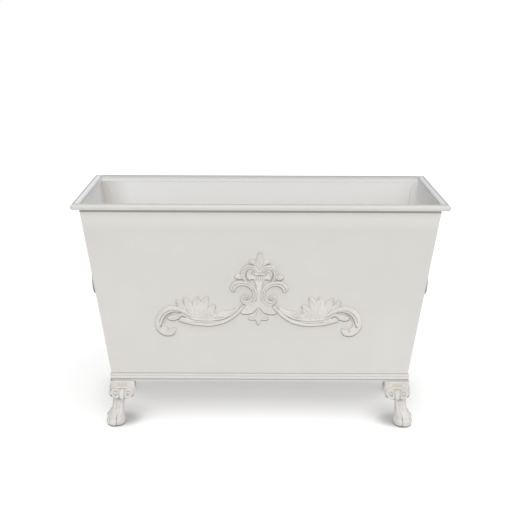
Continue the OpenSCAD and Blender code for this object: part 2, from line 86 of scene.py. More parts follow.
class Bench:  # makes the nodes of one tree
    def __init__(self, tree):
        self.tree = tree

    def node(self, kind, settings=None, values=None, output=0):
        made = self.tree.nodes.new(kind)
        for key, value in (settings or {}).items():
            setattr(made, key, value)
        for key, value in (values or {}).items():
            if isinstance(value, Wire):
                self.tree.links.new(value.socket, made.inputs[key])
            else:
                made.inputs[key].default_value = value
        return Wire(self, made.outputs[output])

    def fade(self, value, low, high, start=0.0, end=1.0):  # smooth step from low to high
        return self.node("ShaderNodeMapRange", {"interpolation_type": "SMOOTHSTEP"}, {
            "Value": value, "From Min": low, "From Max": high, "To Min": start, "To Max": end})


class Finish(Bench):  # one procedural material; constants are sockets with one value all over
    def __init__(self, name, constants=None):
        self.material = bpy.data.materials.new(name)
        self.material.use_nodes = True
        super().__init__(self.material.node_tree)
        self.shader = self.tree.nodes["Principled BSDF"]
        for socket, value in (constants or {}).items():
            self.shader.inputs[socket].default_value = value
        self.place = self.node("ShaderNodeTexCoord", output="Object")

    def feed(self, socket, value):
        self.tree.links.new(value.socket, self.shader.inputs[socket])

    def spot(self):  # x, y and z on the object in mm
        scaled = self.node("ShaderNodeVectorMath", {"operation": "SCALE"}, {"Vector": self.place, "Scale": 1 / mm})
        return [self.node("ShaderNodeSeparateXYZ", {}, {"Vector": scaled}, axis) for axis in "XYZ"]

    def noise(self, scale, detail=3, roughness=0.55, stretch=(1, 1, 1)):
        where = self.node("ShaderNodeMapping", {}, {"Vector": self.place, "Scale": stretch})
        return self.node("ShaderNodeTexNoise", {}, {
            "Vector": where, "Scale": scale, "Detail": detail, "Roughness": roughness})

    def mottle(self, scale, detail, roughness, low, high, stretch=(1, 1, 1)):  # noise as patches with soft edges
        return self.fade(self.noise(scale, detail, roughness, stretch), low, high)

    def blend(self, factor, first, second):  # of two sockets or tones
        first, second = ((*tones[side], 1) if isinstance(side, str) else side for side in (first, second))
        return self.node("ShaderNodeMix", {"data_type": "RGBA"}, {"Factor": factor, "A": first, "B": second}, "Result")

    def lay(self, factor, tone):  # one more tone over what is there
        self.tone = self.blend(factor, self.tone, tone)

    def bump(self, strength, distance, height, under=None):  # distance in mm
        values = {"Strength": strength, "Distance": distance * mm, "Height": height}
        if under:
            values["Normal"] = under
        return self.node("ShaderNodeBump", {}, values)


tones = {
    "sheet": (0.592, 0.577, 0.546), "sheetWarm": (0.580, 0.560, 0.520),
    # sheet tones; the brightest is painted light, laid under the rim
    "sheetPale": (0.612, 0.599, 0.571), "sheetLit": (0.690, 0.677, 0.648),
    # painted light for the inner faces, painted shade for the back left corner, painted light for the moulding's
    # crease
    "inside": (0.820, 0.817, 0.810), "corner": (0.520, 0.505, 0.470), "crease": (0.665, 0.652, 0.622),
    # painted light and shade for the rim's inner face, then for its ends
    "rimInsideLit": (0.900, 0.900, 0.902), "rimUpperShade": (0.740, 0.740, 0.742),
    "rimRightLit": (0.760, 0.762, 0.775), "rimLeftLit": (0.900, 0.900, 0.912),
    "cast": (0.590, 0.572, 0.540), "castPale": (0.650, 0.635, 0.604),
    # the darkest tone is painted shade, and grime in the castings' recesses; then a dark wash
    "shadeAndGrime": (0.130, 0.120, 0.108), "line": (0.330, 0.310, 0.280),
    "tan": (0.560, 0.440, 0.330), "umber": (0.330, 0.215, 0.145),
    # iron paint, then the painted shade it takes towards the grip
    "iron": (0.430, 0.427, 0.418), "ironShade": (0.160, 0.157, 0.152),
    "zinc": (0.500, 0.510, 0.520), "zincPale": (0.660, 0.660, 0.640),
    "seam": (0.700, 0.690, 0.670), "seamOld": (0.660, 0.635, 0.590), "seamBare": (0.560, 0.470, 0.350),
    "floor": (0.600, 0.600, 0.600), "floorPale": (0.620, 0.620, 0.620),
}
sheetGrain = {  # noise scale, detail and roughness, then where the patches start and end
    "cloud": (2.6, 4, 0.6, 0.34, 0.68), "patch": (13, 3, 0.5, 0.42, 0.75), "speck": (420, 2, 0.5, 0.66, 0.76),
    "cloudStretch": (1, 1, 1.4), "warm": 0.35, "specks": 0.10,
    "gloss": (0.46, 0.10, 0.04), "peel": (0.10, 0.4), "sag": (0.22, 3.0),  # bump strength and mm
}


class SheetPaint(Finish):  # sprayed antique white, on which each piece lays its own marks
    def __init__(self, name):
        super().__init__(name)
        self.across, self.deep, self.high = self.spot()
        outward = self.node("ShaderNodeVectorMath", {"operation": "MULTIPLY"}, {0: self.place, 1: (1, 1, 0)})
        facing = self.node("ShaderNodeVectorMath", {"operation": "DOT_PRODUCT"}, {
            0: self.node("ShaderNodeNewGeometry", output="True Normal"), 1: outward}, "Value")
        self.within = self.fade(facing, 0.0, -0.05)  # 1 on faces that look towards the trough's middle
        self.cloud = self.mottle(*sheetGrain["cloud"], sheetGrain["cloudStretch"])
        self.patch = self.mottle(*sheetGrain["patch"])
        self.tone = self.blend(self.cloud, "sheet", "sheetPale")
        self.lay(self.patch * sheetGrain["warm"], "sheetWarm")

    def paintedShadeLines(self, lines):  # painted shade lines round the outside
        for low, top, soft, dark in lines:
            line = self.fade(self.high, low - soft, low) * self.fade(self.high, top, top + soft, 1.0, 0.0)
            self.lay(line * (1.0 - self.within) * dark, "shadeAndGrime")

    def finished(self):
        self.lay(self.mottle(*sheetGrain["speck"]) * sheetGrain["specks"], "line")
        self.feed("Base Color", self.tone)
        even, fine, broad = sheetGrain["gloss"]
        self.feed("Roughness", even + self.noise(55) * fine + self.cloud * broad)
        peel = self.bump(*sheetGrain["peel"], self.noise(300, 2, 0.5))
        self.feed("Normal", self.bump(*sheetGrain["sag"], self.noise(9, 2, 0.4), peel))
        return self.material


wallMarks = {  # heights and distances in mm
    "bright": (530, 572), "brightness": 0.8,                        # painted light under the rim, lifting the shade the rim casts there
    "shade": (5, 80), "shading": 0.55,                              # painted shade inside, from the back left corner
    "smear": (2, 26), "smearEven": 0.12, "smearPatchy": 0.14,       # old tan sealant in that corner
    "paintedShade": [(581.4, 586.6, 1.0, 0.64), (144.3, 145.6, 0.8, 0.42)],  # painted shade under the rim and in the quirk above the moulding: low edge, high edge, how soft, how dark
}


def wallFinish():
    paint = SheetPaint("antique white wall paint")
    # painted light: paler paint under the rim
    paint.lay(paint.fade(paint.high, *wallMarks["bright"]) * wallMarks["brightness"], "sheetLit")
    # painted light: the faces inside the trough are painted paler
    paint.lay(paint.within, "inside")
    corner = (wallDistance("left", paint.high) + paint.across).larger(wallDistance("back", paint.high) - paint.deep)
    # painted shade towards the back left corner, inside
    shade = paint.fade(corner, *wallMarks["shade"], 1.0, 0.0) * paint.within
    paint.lay(shade * wallMarks["shading"], "corner")
    smear = paint.fade(corner, *wallMarks["smear"], 1.0, 0.0) * paint.within
    paint.lay(smear * (wallMarks["smearEven"] + paint.patch * wallMarks["smearPatchy"]), "tan")
    # painted shade under the rim and in the quirk above the moulding
    paint.paintedShadeLines(wallMarks["paintedShade"])
    return paint.finished()


baseMarks = {
    "crease": (1.0, 5.0),  # square of the distance from the crease between the two rolls, which is painted paler there as painted light against its shade
    # painted shadow in the gap under the torus
    "paintedShade": [(127.2, 130.4, 0.8, 0.36)],
}


def baseFinish():
    paint = SheetPaint("antique white moulding paint")
    # painted light: the faces inside are painted paler
    paint.lay(paint.within, "inside")
    # painted light: the crease between the two rolls is painted paler
    crease = paint.high - (barTop + 2 * trough["torusRadius"])
    paint.lay(paint.fade(crease * crease, *baseMarks["crease"], 1.0, 0.0), "crease")
    # painted shadow under the torus
    paint.paintedShadeLines(baseMarks["paintedShade"])
    return paint.finished()


rimMarks = {  # in mm; heights are above the floor
    "insideUpper": (600, 592),                                      # painted light and shade: the inner face is painted darker at the top, paler below this
    "endWidth": (26, 22), "endStart": (10, 16), "endTop": (596, 600),  # painted light: a paler strip along the top of each end
    "rightToLeft": (50, -50),                                       # where one end's tone gives way to the other's; the left end takes the brighter painted light
    "frontLine": 183.4, "frontHalf": 1.5, "frontSoft": (0.4, 1.4),  # painted shade along the front's inner edge
    "backLine": (16, 15), "sideLine": (8, 7),                       # and this far in from the outer edges
    "ledge": (160, 175), "ledgeTop": (599.4, 600.4),                # and on top of the back's inner face
    "shadeTop": (597, 599), "dark": 0.42, "sideDark": 0.55,
}


def rimFinish():
    paint = SheetPaint("antique white rim paint")
    # painted light and shade on the rim's inner face
    lower = paint.fade(paint.high, *rimMarks["insideUpper"])
    paint.lay(paint.within, paint.blend(lower, "rimUpperShade", "rimInsideLit"))
    fromEnd = halfLength - abs(paint.across)
    strip = paint.fade(fromEnd, *rimMarks["endWidth"]) * paint.fade(paint.deep + halfDepth, *rimMarks["endStart"])
    strip = strip * paint.fade(paint.high, *rimMarks["endTop"])
    # painted light along the ends' tops, brighter on the left
    ends = paint.blend(paint.fade(paint.across, *rimMarks["rightToLeft"]), "rimRightLit", "rimLeftLit")
    paint.lay(strip * (1.0 - paint.within), ends)
    # painted shade along the front's inner edge, the back and end edges, and the back's inner ledge
    line = (paint.deep + rimMarks["frontLine"]) / rimMarks["frontHalf"]
    front = paint.fade(line * line, *rimMarks["frontSoft"], 1.0, 0.0)
    back = paint.fade(halfDepth - paint.deep, *rimMarks["backLine"])
    ledge = paint.fade(paint.deep, *rimMarks["ledge"]) * paint.fade(paint.high, *rimMarks["ledgeTop"]) * paint.within
    side = paint.fade(fromEnd, *rimMarks["sideLine"]) * strip
    paintedShade = (front.larger(back.larger(ledge)) * rimMarks["dark"]).larger(side * rimMarks["sideDark"])
    paint.lay(paintedShade * paint.fade(paint.high, *rimMarks["shadeTop"]), "shadeAndGrime")
    return paint.finished()


castWashes = [  # where it lies, from and to, how much evenly and how much in blotches, and its tone
    ("crown", 0.50, 1.0, 0.00, 0.16, "tan"),
    ("tips", 0.15, 0.9, 0.45, 0.40, "tan"),
    ("tips", 0.60, 1.0, 0.00, 0.35, "umber"),
    # the recess washes are antique wash in hollows and grooves, and painted shade along edges
    ("washAndShade", 0.10, 0.6, 0.62, 0.00, "line"),
    ("washAndShade", 0.50, 1.0, 0.80, 0.00, "shadeAndGrime"),
]
castGrain = {"cloud": (28, 4, 0.6, 0.36, 0.66), "blotch": (110, 3, 0.6, 0.40, 0.60), "bump": (0.20, 0.5)}


def paintedCasting(name, wash=1.0):  # wash: how much of the washes is left
    finish = Finish(name)
    marks = {label: finish.node("ShaderNodeAttribute", {"attribute_name": label}, output="Fac")
             for label in ("washAndShade", "crown", "tips")}
    cloud, blotch = finish.mottle(*castGrain["cloud"]), finish.mottle(*castGrain["blotch"])
    finish.tone = finish.blend(cloud, "cast", "castPale")
    for label, low, high, even, blotchy, tone in castWashes:
        finish.lay(finish.fade(marks[label], low, high) * ((even + blotch * blotchy) * wash), tone)
    finish.feed("Base Color", finish.tone)
    finish.feed("Roughness", 0.47 + cloud * 0.08 + finish.fade(marks["washAndShade"], 0.2, 0.9) * 0.2)
    finish.feed("Normal", finish.bump(*castGrain["bump"], finish.noise(520, 2, 0.6) + finish.noise(140, 3, 0.5) * 1.5))
    return finish.material


def galvanisedSteel():
    finish = Finish("zinc plated steel", {"Metallic": 1.0})
    bloom = finish.mottle(160, 3, 0.6, 0.38, 0.66)
    finish.feed("Base Color", finish.blend(bloom, "zinc", "zincPale"))
    finish.feed("Roughness", 0.34 + bloom * 0.20)
    finish.feed("Normal", finish.bump(0.15, 0.3, finish.noise(600, 2)))
    return finish.material


seamMarks = {  # in mm from the trough's middle, towards the back left corner
    "oldAcross": (-200, -400), "oldDeep": (60, 160),
    "bareAcross": (-300, -400), "bareDeep": (90, 160), "bareEven": 0.04, "bareStreaks": 0.14,
}


def seamSealant():  # painted over, with the tan showing through in one corner
    finish = Finish("seam sealant")
    across, deep, _ = finish.spot()
    streaks = finish.mottle(60, 4, 0.6, 0.35, 0.7, (1, 1, 0.3))
    old = finish.fade(across, *seamMarks["oldAcross"]) * finish.fade(deep, *seamMarks["oldDeep"])
    bare = finish.fade(across, *seamMarks["bareAcross"]) * finish.fade(deep, *seamMarks["bareDeep"])
    finish.tone = finish.blend(old, "seam", "seamOld")
    finish.lay(bare * (seamMarks["bareEven"] + streaks * seamMarks["bareStreaks"]), "seamBare")
    finish.feed("Base Color", finish.tone)
    finish.feed("Roughness", 0.50 + streaks * 0.18)
    finish.feed("Normal", finish.bump(0.35, 0.6, finish.noise(240, 3, 0.6)))
    return finish.material


# painted shade over the handle from the first grip height down to the second, in patches, as it faces away from the
# light; scuffs are worn paint
handleWearAndShade = {"grip": (376, 332), "lowerShade": 0.80, "lowerShadePatchy": 0.20, "scuffs": 0.35}  # grip: heights in mm


def wornShadedHandle():  # grey paint with scuffs, and painted shade that darkens it towards the grip
    finish = Finish("worn handle paint")
    worn = finish.mottle(90, 4, 0.6, 0.38, 0.66)
    shadedBelow = finish.fade(finish.spot()[2], *handleWearAndShade["grip"])
    finish.tone = finish.blend(worn * handleWearAndShade["scuffs"], "iron", "line")
    # painted shade towards the grip
    finish.lay(shadedBelow * (handleWearAndShade["lowerShade"] + worn * handleWearAndShade["lowerShadePatchy"]), "ironShade")
    finish.feed("Base Color", finish.tone)
    finish.feed("Roughness", 0.40 + worn * 0.16)
    finish.feed("Normal", finish.bump(0.2, 0.4, finish.noise(420, 3, 0.6)))
    return finish.material


wallPaint = wallFinish()
basePaint = baseFinish()
rimPaint = rimFinish()
castPaint = paintedCasting("antique white foot paint")
ornamentPaint = paintedCasting("antique white ornament paint")
platePaint = paintedCasting("antique white plate paint", 0.8)
handlePaint = wornShadedHandle()
zinc = galvanisedSteel()
sealant = seamSealant()
print("finishes made")


def dress(names, material):
    for name in names:
        nodes[name].data.materials.clear()
        nodes[name].data.materials.append(material)


sides = ("front", "back", "left", "right")
dress(["front_wall", "back_wall", "left_end_wall", "right_end_wall", "floor_panel",
       "floor_brace_left", "floor_brace_right"], wallPaint)
dress([f"{kind}_{side}" for kind in ("moulding", "frame_bar") for side in sides], basePaint)
dress([f"rim_{side}" for side in sides], rimPaint)
dress(["corner_sealant"], sealant)
dress(["foot_bolts", "foot_washers", "left_handle_pins", "right_handle_pins"], zinc)
dress(["left_handle_plate", "right_handle_plate"], platePaint)
print("nodes dressed")


# Reliefs in mm: x from the ornament's middle, y up the wall from its reference line
def smoothPath(points, steps=8):  # a curve through the points, each with its half width
    given = np.array(points, float)
    before = np.vstack([given[:1], given[:-1]])
    after = np.vstack([given[1:], given[-1:]])
    following = np.vstack([given[2:], given[-1:], given[-1:]])
    rows = []
    for a, b, c, d in zip(before[:-1], given[:-1], after[:-1], following[:-1]):
        for t in np.arange(steps) / steps:
            rows.append((2 * b + (c - a) * t + (2 * a - 5 * b + 4 * c - d) * t * t
                         + (3 * b - a - 3 * c + d) * t ** 3) / 2)
    return np.array(rows + [given[-1]])


def dome(ratio, power=2.4):
    return np.sqrt(np.clip(1 - np.abs(ratio) ** power, 0, 1))


def bell(value, centre, width):
    return np.exp(-((value - centre) / width) ** 2)


def easeStep(value, low, high):
    t = np.clip((value - low) / (high - low), 0, 1)
    return t * t * (3 - 2 * t)


# Cross sections: ratio runs from -1 to 1 across a stroke, share from 0 to 1 along it
def rounded(ratio, share):
    return dome(ratio, 2.0)


def channelled(ratio, share):  # two rolls with a groove between them
    return dome(ratio, 3.4) * (1 - 0.46 * bell(ratio, 0.0, 0.20))


def leafy(ratio, share):  # a veined leaf that lifts towards a curled tip
    vein = 0.34 * bell(ratio, 0, 0.13) + 0.24 * bell(np.abs(ratio), 0.55, 0.12)
    lift = 0.62 + 0.38 * easeStep(share, 0.1, 0.85)
    return dome(ratio, 2.6) * (1 - vein * easeStep(share, 0.95, 0.80)) * lift


def softened(field, width):  # a small separable blur
    reach = int(3 * width) + 1
    weights = np.exp(-0.5 * (np.arange(-reach, reach + 1) / width) ** 2)
    weights /= weights.sum()
    for axis in (0, 1):
        padded = np.pad(field, [(reach, reach) if a == axis else (0, 0) for a in (0, 1)], mode="edge")
        field = sum(w * np.take(padded, np.arange(field.shape[axis]) + i, axis) for i, w in enumerate(weights))
    return field


# Where a stroke lies over an older one, with a painted shadow line along its edge: mm beyond its edge, negative inside
# it
strokeEdge = {"lineAt": 0.5, "lineWidth": 1.1, "cleanFrom": -1.2, "cleaned": 0.2, "coverFrom": -0.8}
castRule = {  # heights and widths in mm, but the last two blurs in grid steps
    # the apron is a low strip along lower edges that carries a painted shadow
    "least": 0.5, "edge": 1.1, "back": -0.3, "shadowApron": 1.5,
    "blur": 0.45, "hollowBlur": 2.2, "outlineBlur": 0.7, "lineBlur": 0.5,
    # painted shade along the outline, darker on lower edges; wash in hollows; wash and painted shadow in the lines
    "outlineWidth": 0.7, "outlineDark": 0.34, "hollowDark": 0.42, "lineDark": 0.62, "crown": (1.5, 6.5),
}


class Relief:  # a height field over a grid, built up stroke by stroke
    def __init__(self, low, high, spacing):
        self.spacing = spacing
        self.x, self.y = np.meshgrid(np.arange(low[0], high[0] + spacing, spacing),
                                     np.arange(low[1], high[1] + spacing, spacing))
        self.height = np.zeros_like(self.x)
        self.line = np.zeros_like(self.x)         # dark wash left in grooves, and painted shadow under the edges of strokes that lie over others
        self.tips = np.zeros_like(self.x)         # tan wash rubbed on leaf tips
        self.inside = np.full_like(self.x, -9.0)  # distance inwards from the outline
        self.keep = np.full_like(self.x, 9.0)     # and from the line where the piece ends

    def nearest(self, points, margin=4):  # how far beyond the stroke, where across it, how far along it
        path = smoothPath(points)
        legs = np.hypot(*np.diff(path[:, :2], axis=0).T)
        walked = np.concatenate([[0], np.cumsum(legs)])
        best = np.full(self.x.shape, 99.0)
        ratio, along = np.full(self.x.shape, 9.0), np.zeros(self.x.shape)
        for i, leg in enumerate(legs):
            (ax, ay, aw), (bx, by, bw) = path[i], path[i + 1]
            reach = max(aw, bw) + margin
            rows = (self.y[:, 0] > min(ay, by) - reach) & (self.y[:, 0] < max(ay, by) + reach)
            columns = (self.x[0] > min(ax, bx) - reach) & (self.x[0] < max(ax, bx) + reach)
            if leg < 1e-6 or not rows.any() or not columns.any():
                continue
            spot = np.ix_(rows, columns)
            px, py = self.x[spot] - ax, self.y[spot] - ay
            dx, dy = (bx - ax) / leg, (by - ay) / leg
            t = np.clip((px * dx + py * dy) / leg, 0, 1)
            offX, offY = px - t * leg * dx, py - t * leg * dy
            width = np.maximum(aw + (bw - aw) * t, 0.3)
            away = np.hypot(offX, offY)
            closer = away - width < best[spot]
            best[spot] = np.where(closer, away - width, best[spot])
            side = np.where(dx * offY - dy * offX >= 0, 1, -1)
            ratio[spot] = np.where(closer, side * away / width, ratio[spot])
            along[spot] = np.where(closer, walked[i] + t * leg, along[spot])
        return best, ratio, along / walked[-1]

    def stroke(self, points, height, profile=channelled, overlap=0.0):
        beyond, ratio, share = self.nearest(points)
        within = beyond < 0
        rise = profile(np.clip(ratio, -1, 1), share) * height
        if overlap:  # this stroke lies on what is below, with a painted shadow line along its edge
            shadow = bell(beyond, strokeEdge["lineAt"], strokeEdge["lineWidth"]) * (self.inside > 0)
            self.line = np.maximum(self.line, overlap * shadow)
            self.line = np.where(beyond < strokeEdge["cleanFrom"], self.line * strokeEdge["cleaned"], self.line)
            self.height = np.where(beyond < strokeEdge["coverFrom"], rise, self.height)
        self.height = np.maximum(self.height, np.where(within, rise, 0))
        self.inside = np.maximum(self.inside, -beyond)

    def carve(self, points, depth, wash=0.6):  # a groove with dark wash left in it
        ratio = self.nearest(points, 6)[1]
        cut = np.where(np.abs(ratio) < 3, np.exp(-ratio ** 2), 0)
        self.height -= depth * cut
        self.line = np.maximum(self.line, wash * cut)

    def rub(self, x, y, radius, strength=1.0):  # tan wash on a tip
        self.tips = np.maximum(self.tips, strength * np.exp(-((self.x - x) ** 2 + (self.y - y) ** 2) / radius ** 2))

    def plate(self, corners, height, edge=2.5):  # a flat ground with a soft edge
        ring = np.array(corners, float)
        crossings = np.zeros(self.x.shape, int)
        away = np.full(self.x.shape, 99.0)
        for (ax, ay), (bx, by) in zip(ring, np.roll(ring, -1, axis=0)):
            leg = math.hypot(bx - ax, by - ay)
            t = np.clip(((self.x - ax) * (bx - ax) + (self.y - ay) * (by - ay)) / leg ** 2, 0, 1)
            away = np.minimum(away, np.hypot(self.x - ax - t * (bx - ax), self.y - ay - t * (by - ay)))
            if ay != by:
                crossings += ((self.y > min(ay, by)) & (self.y <= max(ay, by))
                              & (self.x < ax + (self.y - ay) * (bx - ax) / (by - ay)))
        depth = np.where(crossings % 2 == 1, away, -away)
        self.height = np.maximum(self.height, np.where(depth > 0, height * dome(1 - np.clip(depth / edge, 0, 1)), 0))
        self.inside = np.maximum(self.inside, depth)

    def cast(self):  # closed mesh: points, faces and the paint's attributes
        field = softened(np.maximum(self.height, castRule["least"]), castRule["blur"] / self.spacing)
        hollow = np.clip(softened(field, castRule["hollowBlur"] / self.spacing) - field, 0, 1)
        inside = softened(self.inside, castRule["outlineBlur"])
        under = np.clip(np.gradient(inside, self.spacing)[0], 0, 1)  # 1 along a lower edge, 0 along an upper one
        # painted shade along the outline, darkest along the lower edges
        dark = castRule["outlineDark"] + (1 - castRule["outlineDark"]) * under
        outline = bell(np.clip(inside, 0, None), 0, castRule["outlineWidth"] * (1 + under)) * dark
        shadowApron = castRule["shadowApron"] * np.sqrt(under)  # the painted shadow line stands on it
        inside = np.minimum(inside + shadowApron, self.keep)
        slopeY, slopeX = np.gradient(inside, self.spacing)
        full = inside > 0
        cells = (full[:-1, :-1].astype(int) + full[1:, :-1] + full[:-1, 1:] + full[1:, 1:]) >= 3
        while True:  # cells never touch at a corner alone
            a, b, c, d = cells[:-1, :-1], cells[1:, 1:], cells[1:, :-1], cells[:-1, 1:]
            first, second = a & b & ~c & ~d, c & d & ~a & ~b
            if not (first.any() or second.any()):
                break
            cells[1:, :-1] |= first
            cells[:-1, :-1] |= second
        used = np.zeros(full.shape, bool)
        inner = np.ones(full.shape, bool)
        padded = np.pad(cells, 1)
        for i in (0, 1):
            for j in (0, 1):
                corner = padded[i:i + full.shape[0], j:j + full.shape[1]]
                used |= corner
                inner &= corner
        rim = used & ~inner
        steep = np.maximum(slopeX ** 2 + slopeY ** 2, 0.2)
        shift = np.where(rim, np.clip(inside, -self.spacing, self.spacing), 0)
        x = self.x - shift * slopeX / steep
        y = self.y - shift * slopeY / steep
        edge = castRule["edge"]
        z = np.where(rim & (self.keep > 2 * self.spacing), edge, np.maximum(field, edge * 0.9))
        number = np.full(full.shape, -1)
        number[used] = np.arange(used.sum())
        top = np.stack([x[used], y[used], z[used]], 1)
        count = len(top)
        corners = [number[:-1, :-1][cells], number[:-1, 1:][cells], number[1:, 1:][cells], number[1:, :-1][cells]]
        quads = np.stack(corners, 1)
        edges = np.concatenate([np.stack([quads[:, i], quads[:, (i + 1) % 4]], 1) for i in range(4)])
        key = edges[:, 0] * count + edges[:, 1]
        twin = edges[:, 1] * count + edges[:, 0]
        outer = edges[~np.isin(key, twin)]
        walls = np.stack([outer[:, 1], outer[:, 0], outer[:, 0] + count, outer[:, 1] + count], 1)
        bottom = np.stack([top[:, 0], top[:, 1], np.full(count, castRule["back"])], 1)
        line = softened(self.line, castRule["lineBlur"])
        crownFrom, crownTo = castRule["crown"]
        paint = {
            # antique wash in hollows and grooves, with painted shade along the outline and under overlapping strokes
            "washAndShade": np.maximum.reduce([hollow * castRule["hollowDark"], outline, line * castRule["lineDark"]]),
            "crown": np.clip((field - crownFrom) / (crownTo - crownFrom), 0, 1),
            "tips": np.clip(self.tips, 0, 1),
        }
        values = {name: np.concatenate([value[used], np.zeros(count)]) for name, value in paint.items()}
        return np.concatenate([top, bottom]), np.concatenate([quads, walls, quads[:, ::-1] + count]), values


# Paths are points with a half width each, and rubs are x, y, radius and strength of the tan on a tip
stem = [(38, 2, 3.5), (50, -12.5, 4.3), (66, -28, 4.5), (88, -41, 4.5), (118, -48.5, 4.5),
        (150, -47.5, 4.5), (172, -44.5, 4.8), (186, -40, 5.5)]
ornament = {  # split: where the crest ends, and past the seam's width the scrolls begin
    "height": 333, "shift": 3.5, "lean": 1.0, "spacing": 0.7, "split": 46, "seam": 0.2,
    "rib": 6.5, "leaf": 4.5, "ground": 2.2,
}
scrollArm = {
    "area": ((34, -90), (268, 34)),
    "curl": [(168, -27, 2.0), (184, -15, 4.5), (201, -8, 7.2), (219, -7, 9.2), (238, -19, 11.5), (249, -40, 12),
             (247, -58, 12), (235, -70, 11), (221, -71, 9), (213, -64, 4.5)],
    "curlGroove": [(214, -16, 1.0), (224, -18, 1.8), (233, -25, 2.2), (239, -35, 2.2), (243, -46, 2.0),
                   (247, -55, 1.6)],
    "curlLine": [(186, -17, 0.9), (204, -10, 1.1), (220, -9, 1.3), (234, -15.5, 1.4), (245, -28, 1.4),
                 (250, -43, 1.2)],
    "curlHollow": [(247, -56, 4), (241, -64, 5.5), (231, -68, 5), (222, -66, 3.5)],
    "innerLeaf": [(192, -22, 4), (203, -27, 7), (215, -31, 8), (224, -31, 6)],
    "stemTip": [(168, -41.5, 4.5), (180, -38.5, 6.6), (190, -36, 7.6), (196.5, -36, 5.4), (199, -38.5, 3)],
    "stemHook": [(183, -30.5, 0.9), (190, -27.5, 1.3), (197, -29, 1.3), (200.5, -36, 0.9)],
    "stemLine": [(174, -39, 0.8), (184, -35.5, 1.0), (192, -33.5, 0.9)],
    "strands": [[(58, -17, 1.6), (78, -32.5, 2.2), (102, -40.5, 2.4), (132, -42, 2.4), (162, -39.5, 2.6),
                 (184, -31, 2.6)],
                [(62, -15, 1.6), (84, -29.5, 2.2), (108, -35.5, 2.4), (136, -36.5, 2.4), (162, -33.5, 2.6),
                 (186, -24, 3)]],
    "leaves": [  # from the one behind to those in front
        [(152, -34, 7), (153.5, -8, 11), (155, 10, 10), (154, 20, 6), (151, 26, 2)],
        [(138, -34, 6), (139.5, -10, 10.5), (137, 8, 10), (132, 19, 6.5), (127, 25, 2)],
        [(167, -32, 6), (172, -8, 10), (177, 7, 9), (182, 16, 6), (187, 22, 2)],
        [(122, -34, 6), (121.5, -18, 9.5), (119, -8, 9), (114, -1, 5.5), (109, 2, 2)],
        [(183, -26, 6), (190, -8, 9), (196, 5, 7.5), (201, 12, 4.5), (205, 15, 2)],
    ],
    "longLeaf": [(52, -2, 3), (62, -13, 6), (76, -19, 8), (91, -21, 8.5), (103, -25, 6)],
    "longLeafTip": [(94, -23, 5.5), (101, -26, 6.0), (104.5, -30.5, 3.5)],
    "rubs": [(103, -27, 6, 0.8), (82, -11, 9, 0.5), (194, -34, 4, 0.6), (247, -54, 5, 1.0), (229, -65, 7, 0.9)],
    "ground": [(96, -34), (106, -22), (124, -4), (158, 6), (184, 0), (198, -10), (190, -28),
               (150, -42), (118, -42)],
}
crestParts = {
    "area": ((-76, -56), (76, 152)),
    "heart": [(12, 95, 3.5), (12.5, 102, 4.5), (20, 108.5, 5.5), (30, 107, 6), (38, 99, 6), (41, 89, 5.5),
              (38, 79, 4.5), (33, 71, 3)],
    "heartCurl": [(18, 97, 2.8), (25, 99, 2.8), (29, 92, 2.8), (28.5, 82, 2.4), (24, 74, 2.0)],
    "sideStub": [(40, 84, 6), (49, 82, 8.5), (56, 81, 5.5)],
    "sideLeaf": [(6, 110, 4), (14, 119, 5.5), (21, 122, 5), (24.5, 117, 2)],
    "bigScroll": [(63.5, 44, 4), (65, 52, 7.8), (57, 61.5, 8), (44, 64.5, 6.8), (30, 62.5, 6.5),
                  (18, 54, 6.3), (11, 42, 5.8), (10.5, 30, 5.8), (16, 17.5, 7), (27, 11.5, 6.5),
                  (38, 15, 6), (41, 23.5, 5), (36, 29.5, 3.5), (30, 28.5, 3)],
    "bow": [(-1, 88, 1.8), (5, 90.5, 2.8), (11, 90.5, 3.4), (18, 91, 1.4)],
    "bud": [(0, 106, 7), (0, 121, 10), (0, 134, 8), (1, 147, 1.5)],
    "valance": [(0, 20), (20, 12), (37, 6), (46, -7), (46, -17), (40, -21), (26, -21.5),
                (14, -17), (6, -8), (0, 1)],
    "drop": [(0, 2, 1.6), (0, -16, 3), (0, -32, 7), (0, -41, 5), (0, -50, 1)],
    "dropArm": [(4, -33, 2.6), (14, -34.5, 2.2), (21, -34, 2.4), (25, -31, 1.4)],
    "heartPlate": [(-30, 74), (30, 74), (34, 92), (28, 104), (12, 112), (0, 120), (-12, 112), (-28, 104), (-34, 92)],
    "spinePlate": [(-7, 16), (7, 16), (7, 56), (14, 78), (-14, 78), (-7, 56)],
    "flute": [(-3.6, 14, 1.8), (-2.88, 38, 2.0), (-4.32, 58, 2.0), (-9.36, 72, 1.4)],
    "trefoilSide": [(1, 84, 1.5), (4.5, 79, 2.6), (8, 74, 1.0)],
    "trefoilMiddle": [(0, 84, 1.5), (0, 77, 2.4), (0, 70, 0.8)],
    "scrollEye": [(31.5, 23, 3.6), (33, 23, 3.6)],
    "heartEye": [(14.5, 94, 3.4), (16, 94, 3.4)],
    "grooves": [  # path, depth and wash
        ([(0, 86.5, 1.0), (9, 85.6, 1.4), (18, 88.5, 1.0)], 1.0, 1.0),
        ([(0, 99, 0.9), (5, 108, 1.2), (10, 114, 0.9)], 1.8, 0.8),
        ([(0, 112, 0.7), (5, 116.5, 0.9)], 1.2, 0.6),
        ([(1.5, 137, 0.9), (7, 127, 1.2), (11, 117, 0.8)], 1.4, 0.6),
    ],
    "rubs": [(3, 145, 6, 0.7), (10, 135, 5, 0.7), (24, 119, 6, 0.8), (44, 100, 6, 0.5), (15, 94, 4, 0.9),
             (49, 90, 5, 0.8), (64, 68, 6, 0.6), (14, 28, 5, 0.5), (6, 76, 4, 0.8), (9, -36, 4, 0.4)],
    "seamBelow": 8,  # higher up the big scrolls reach past the split
}


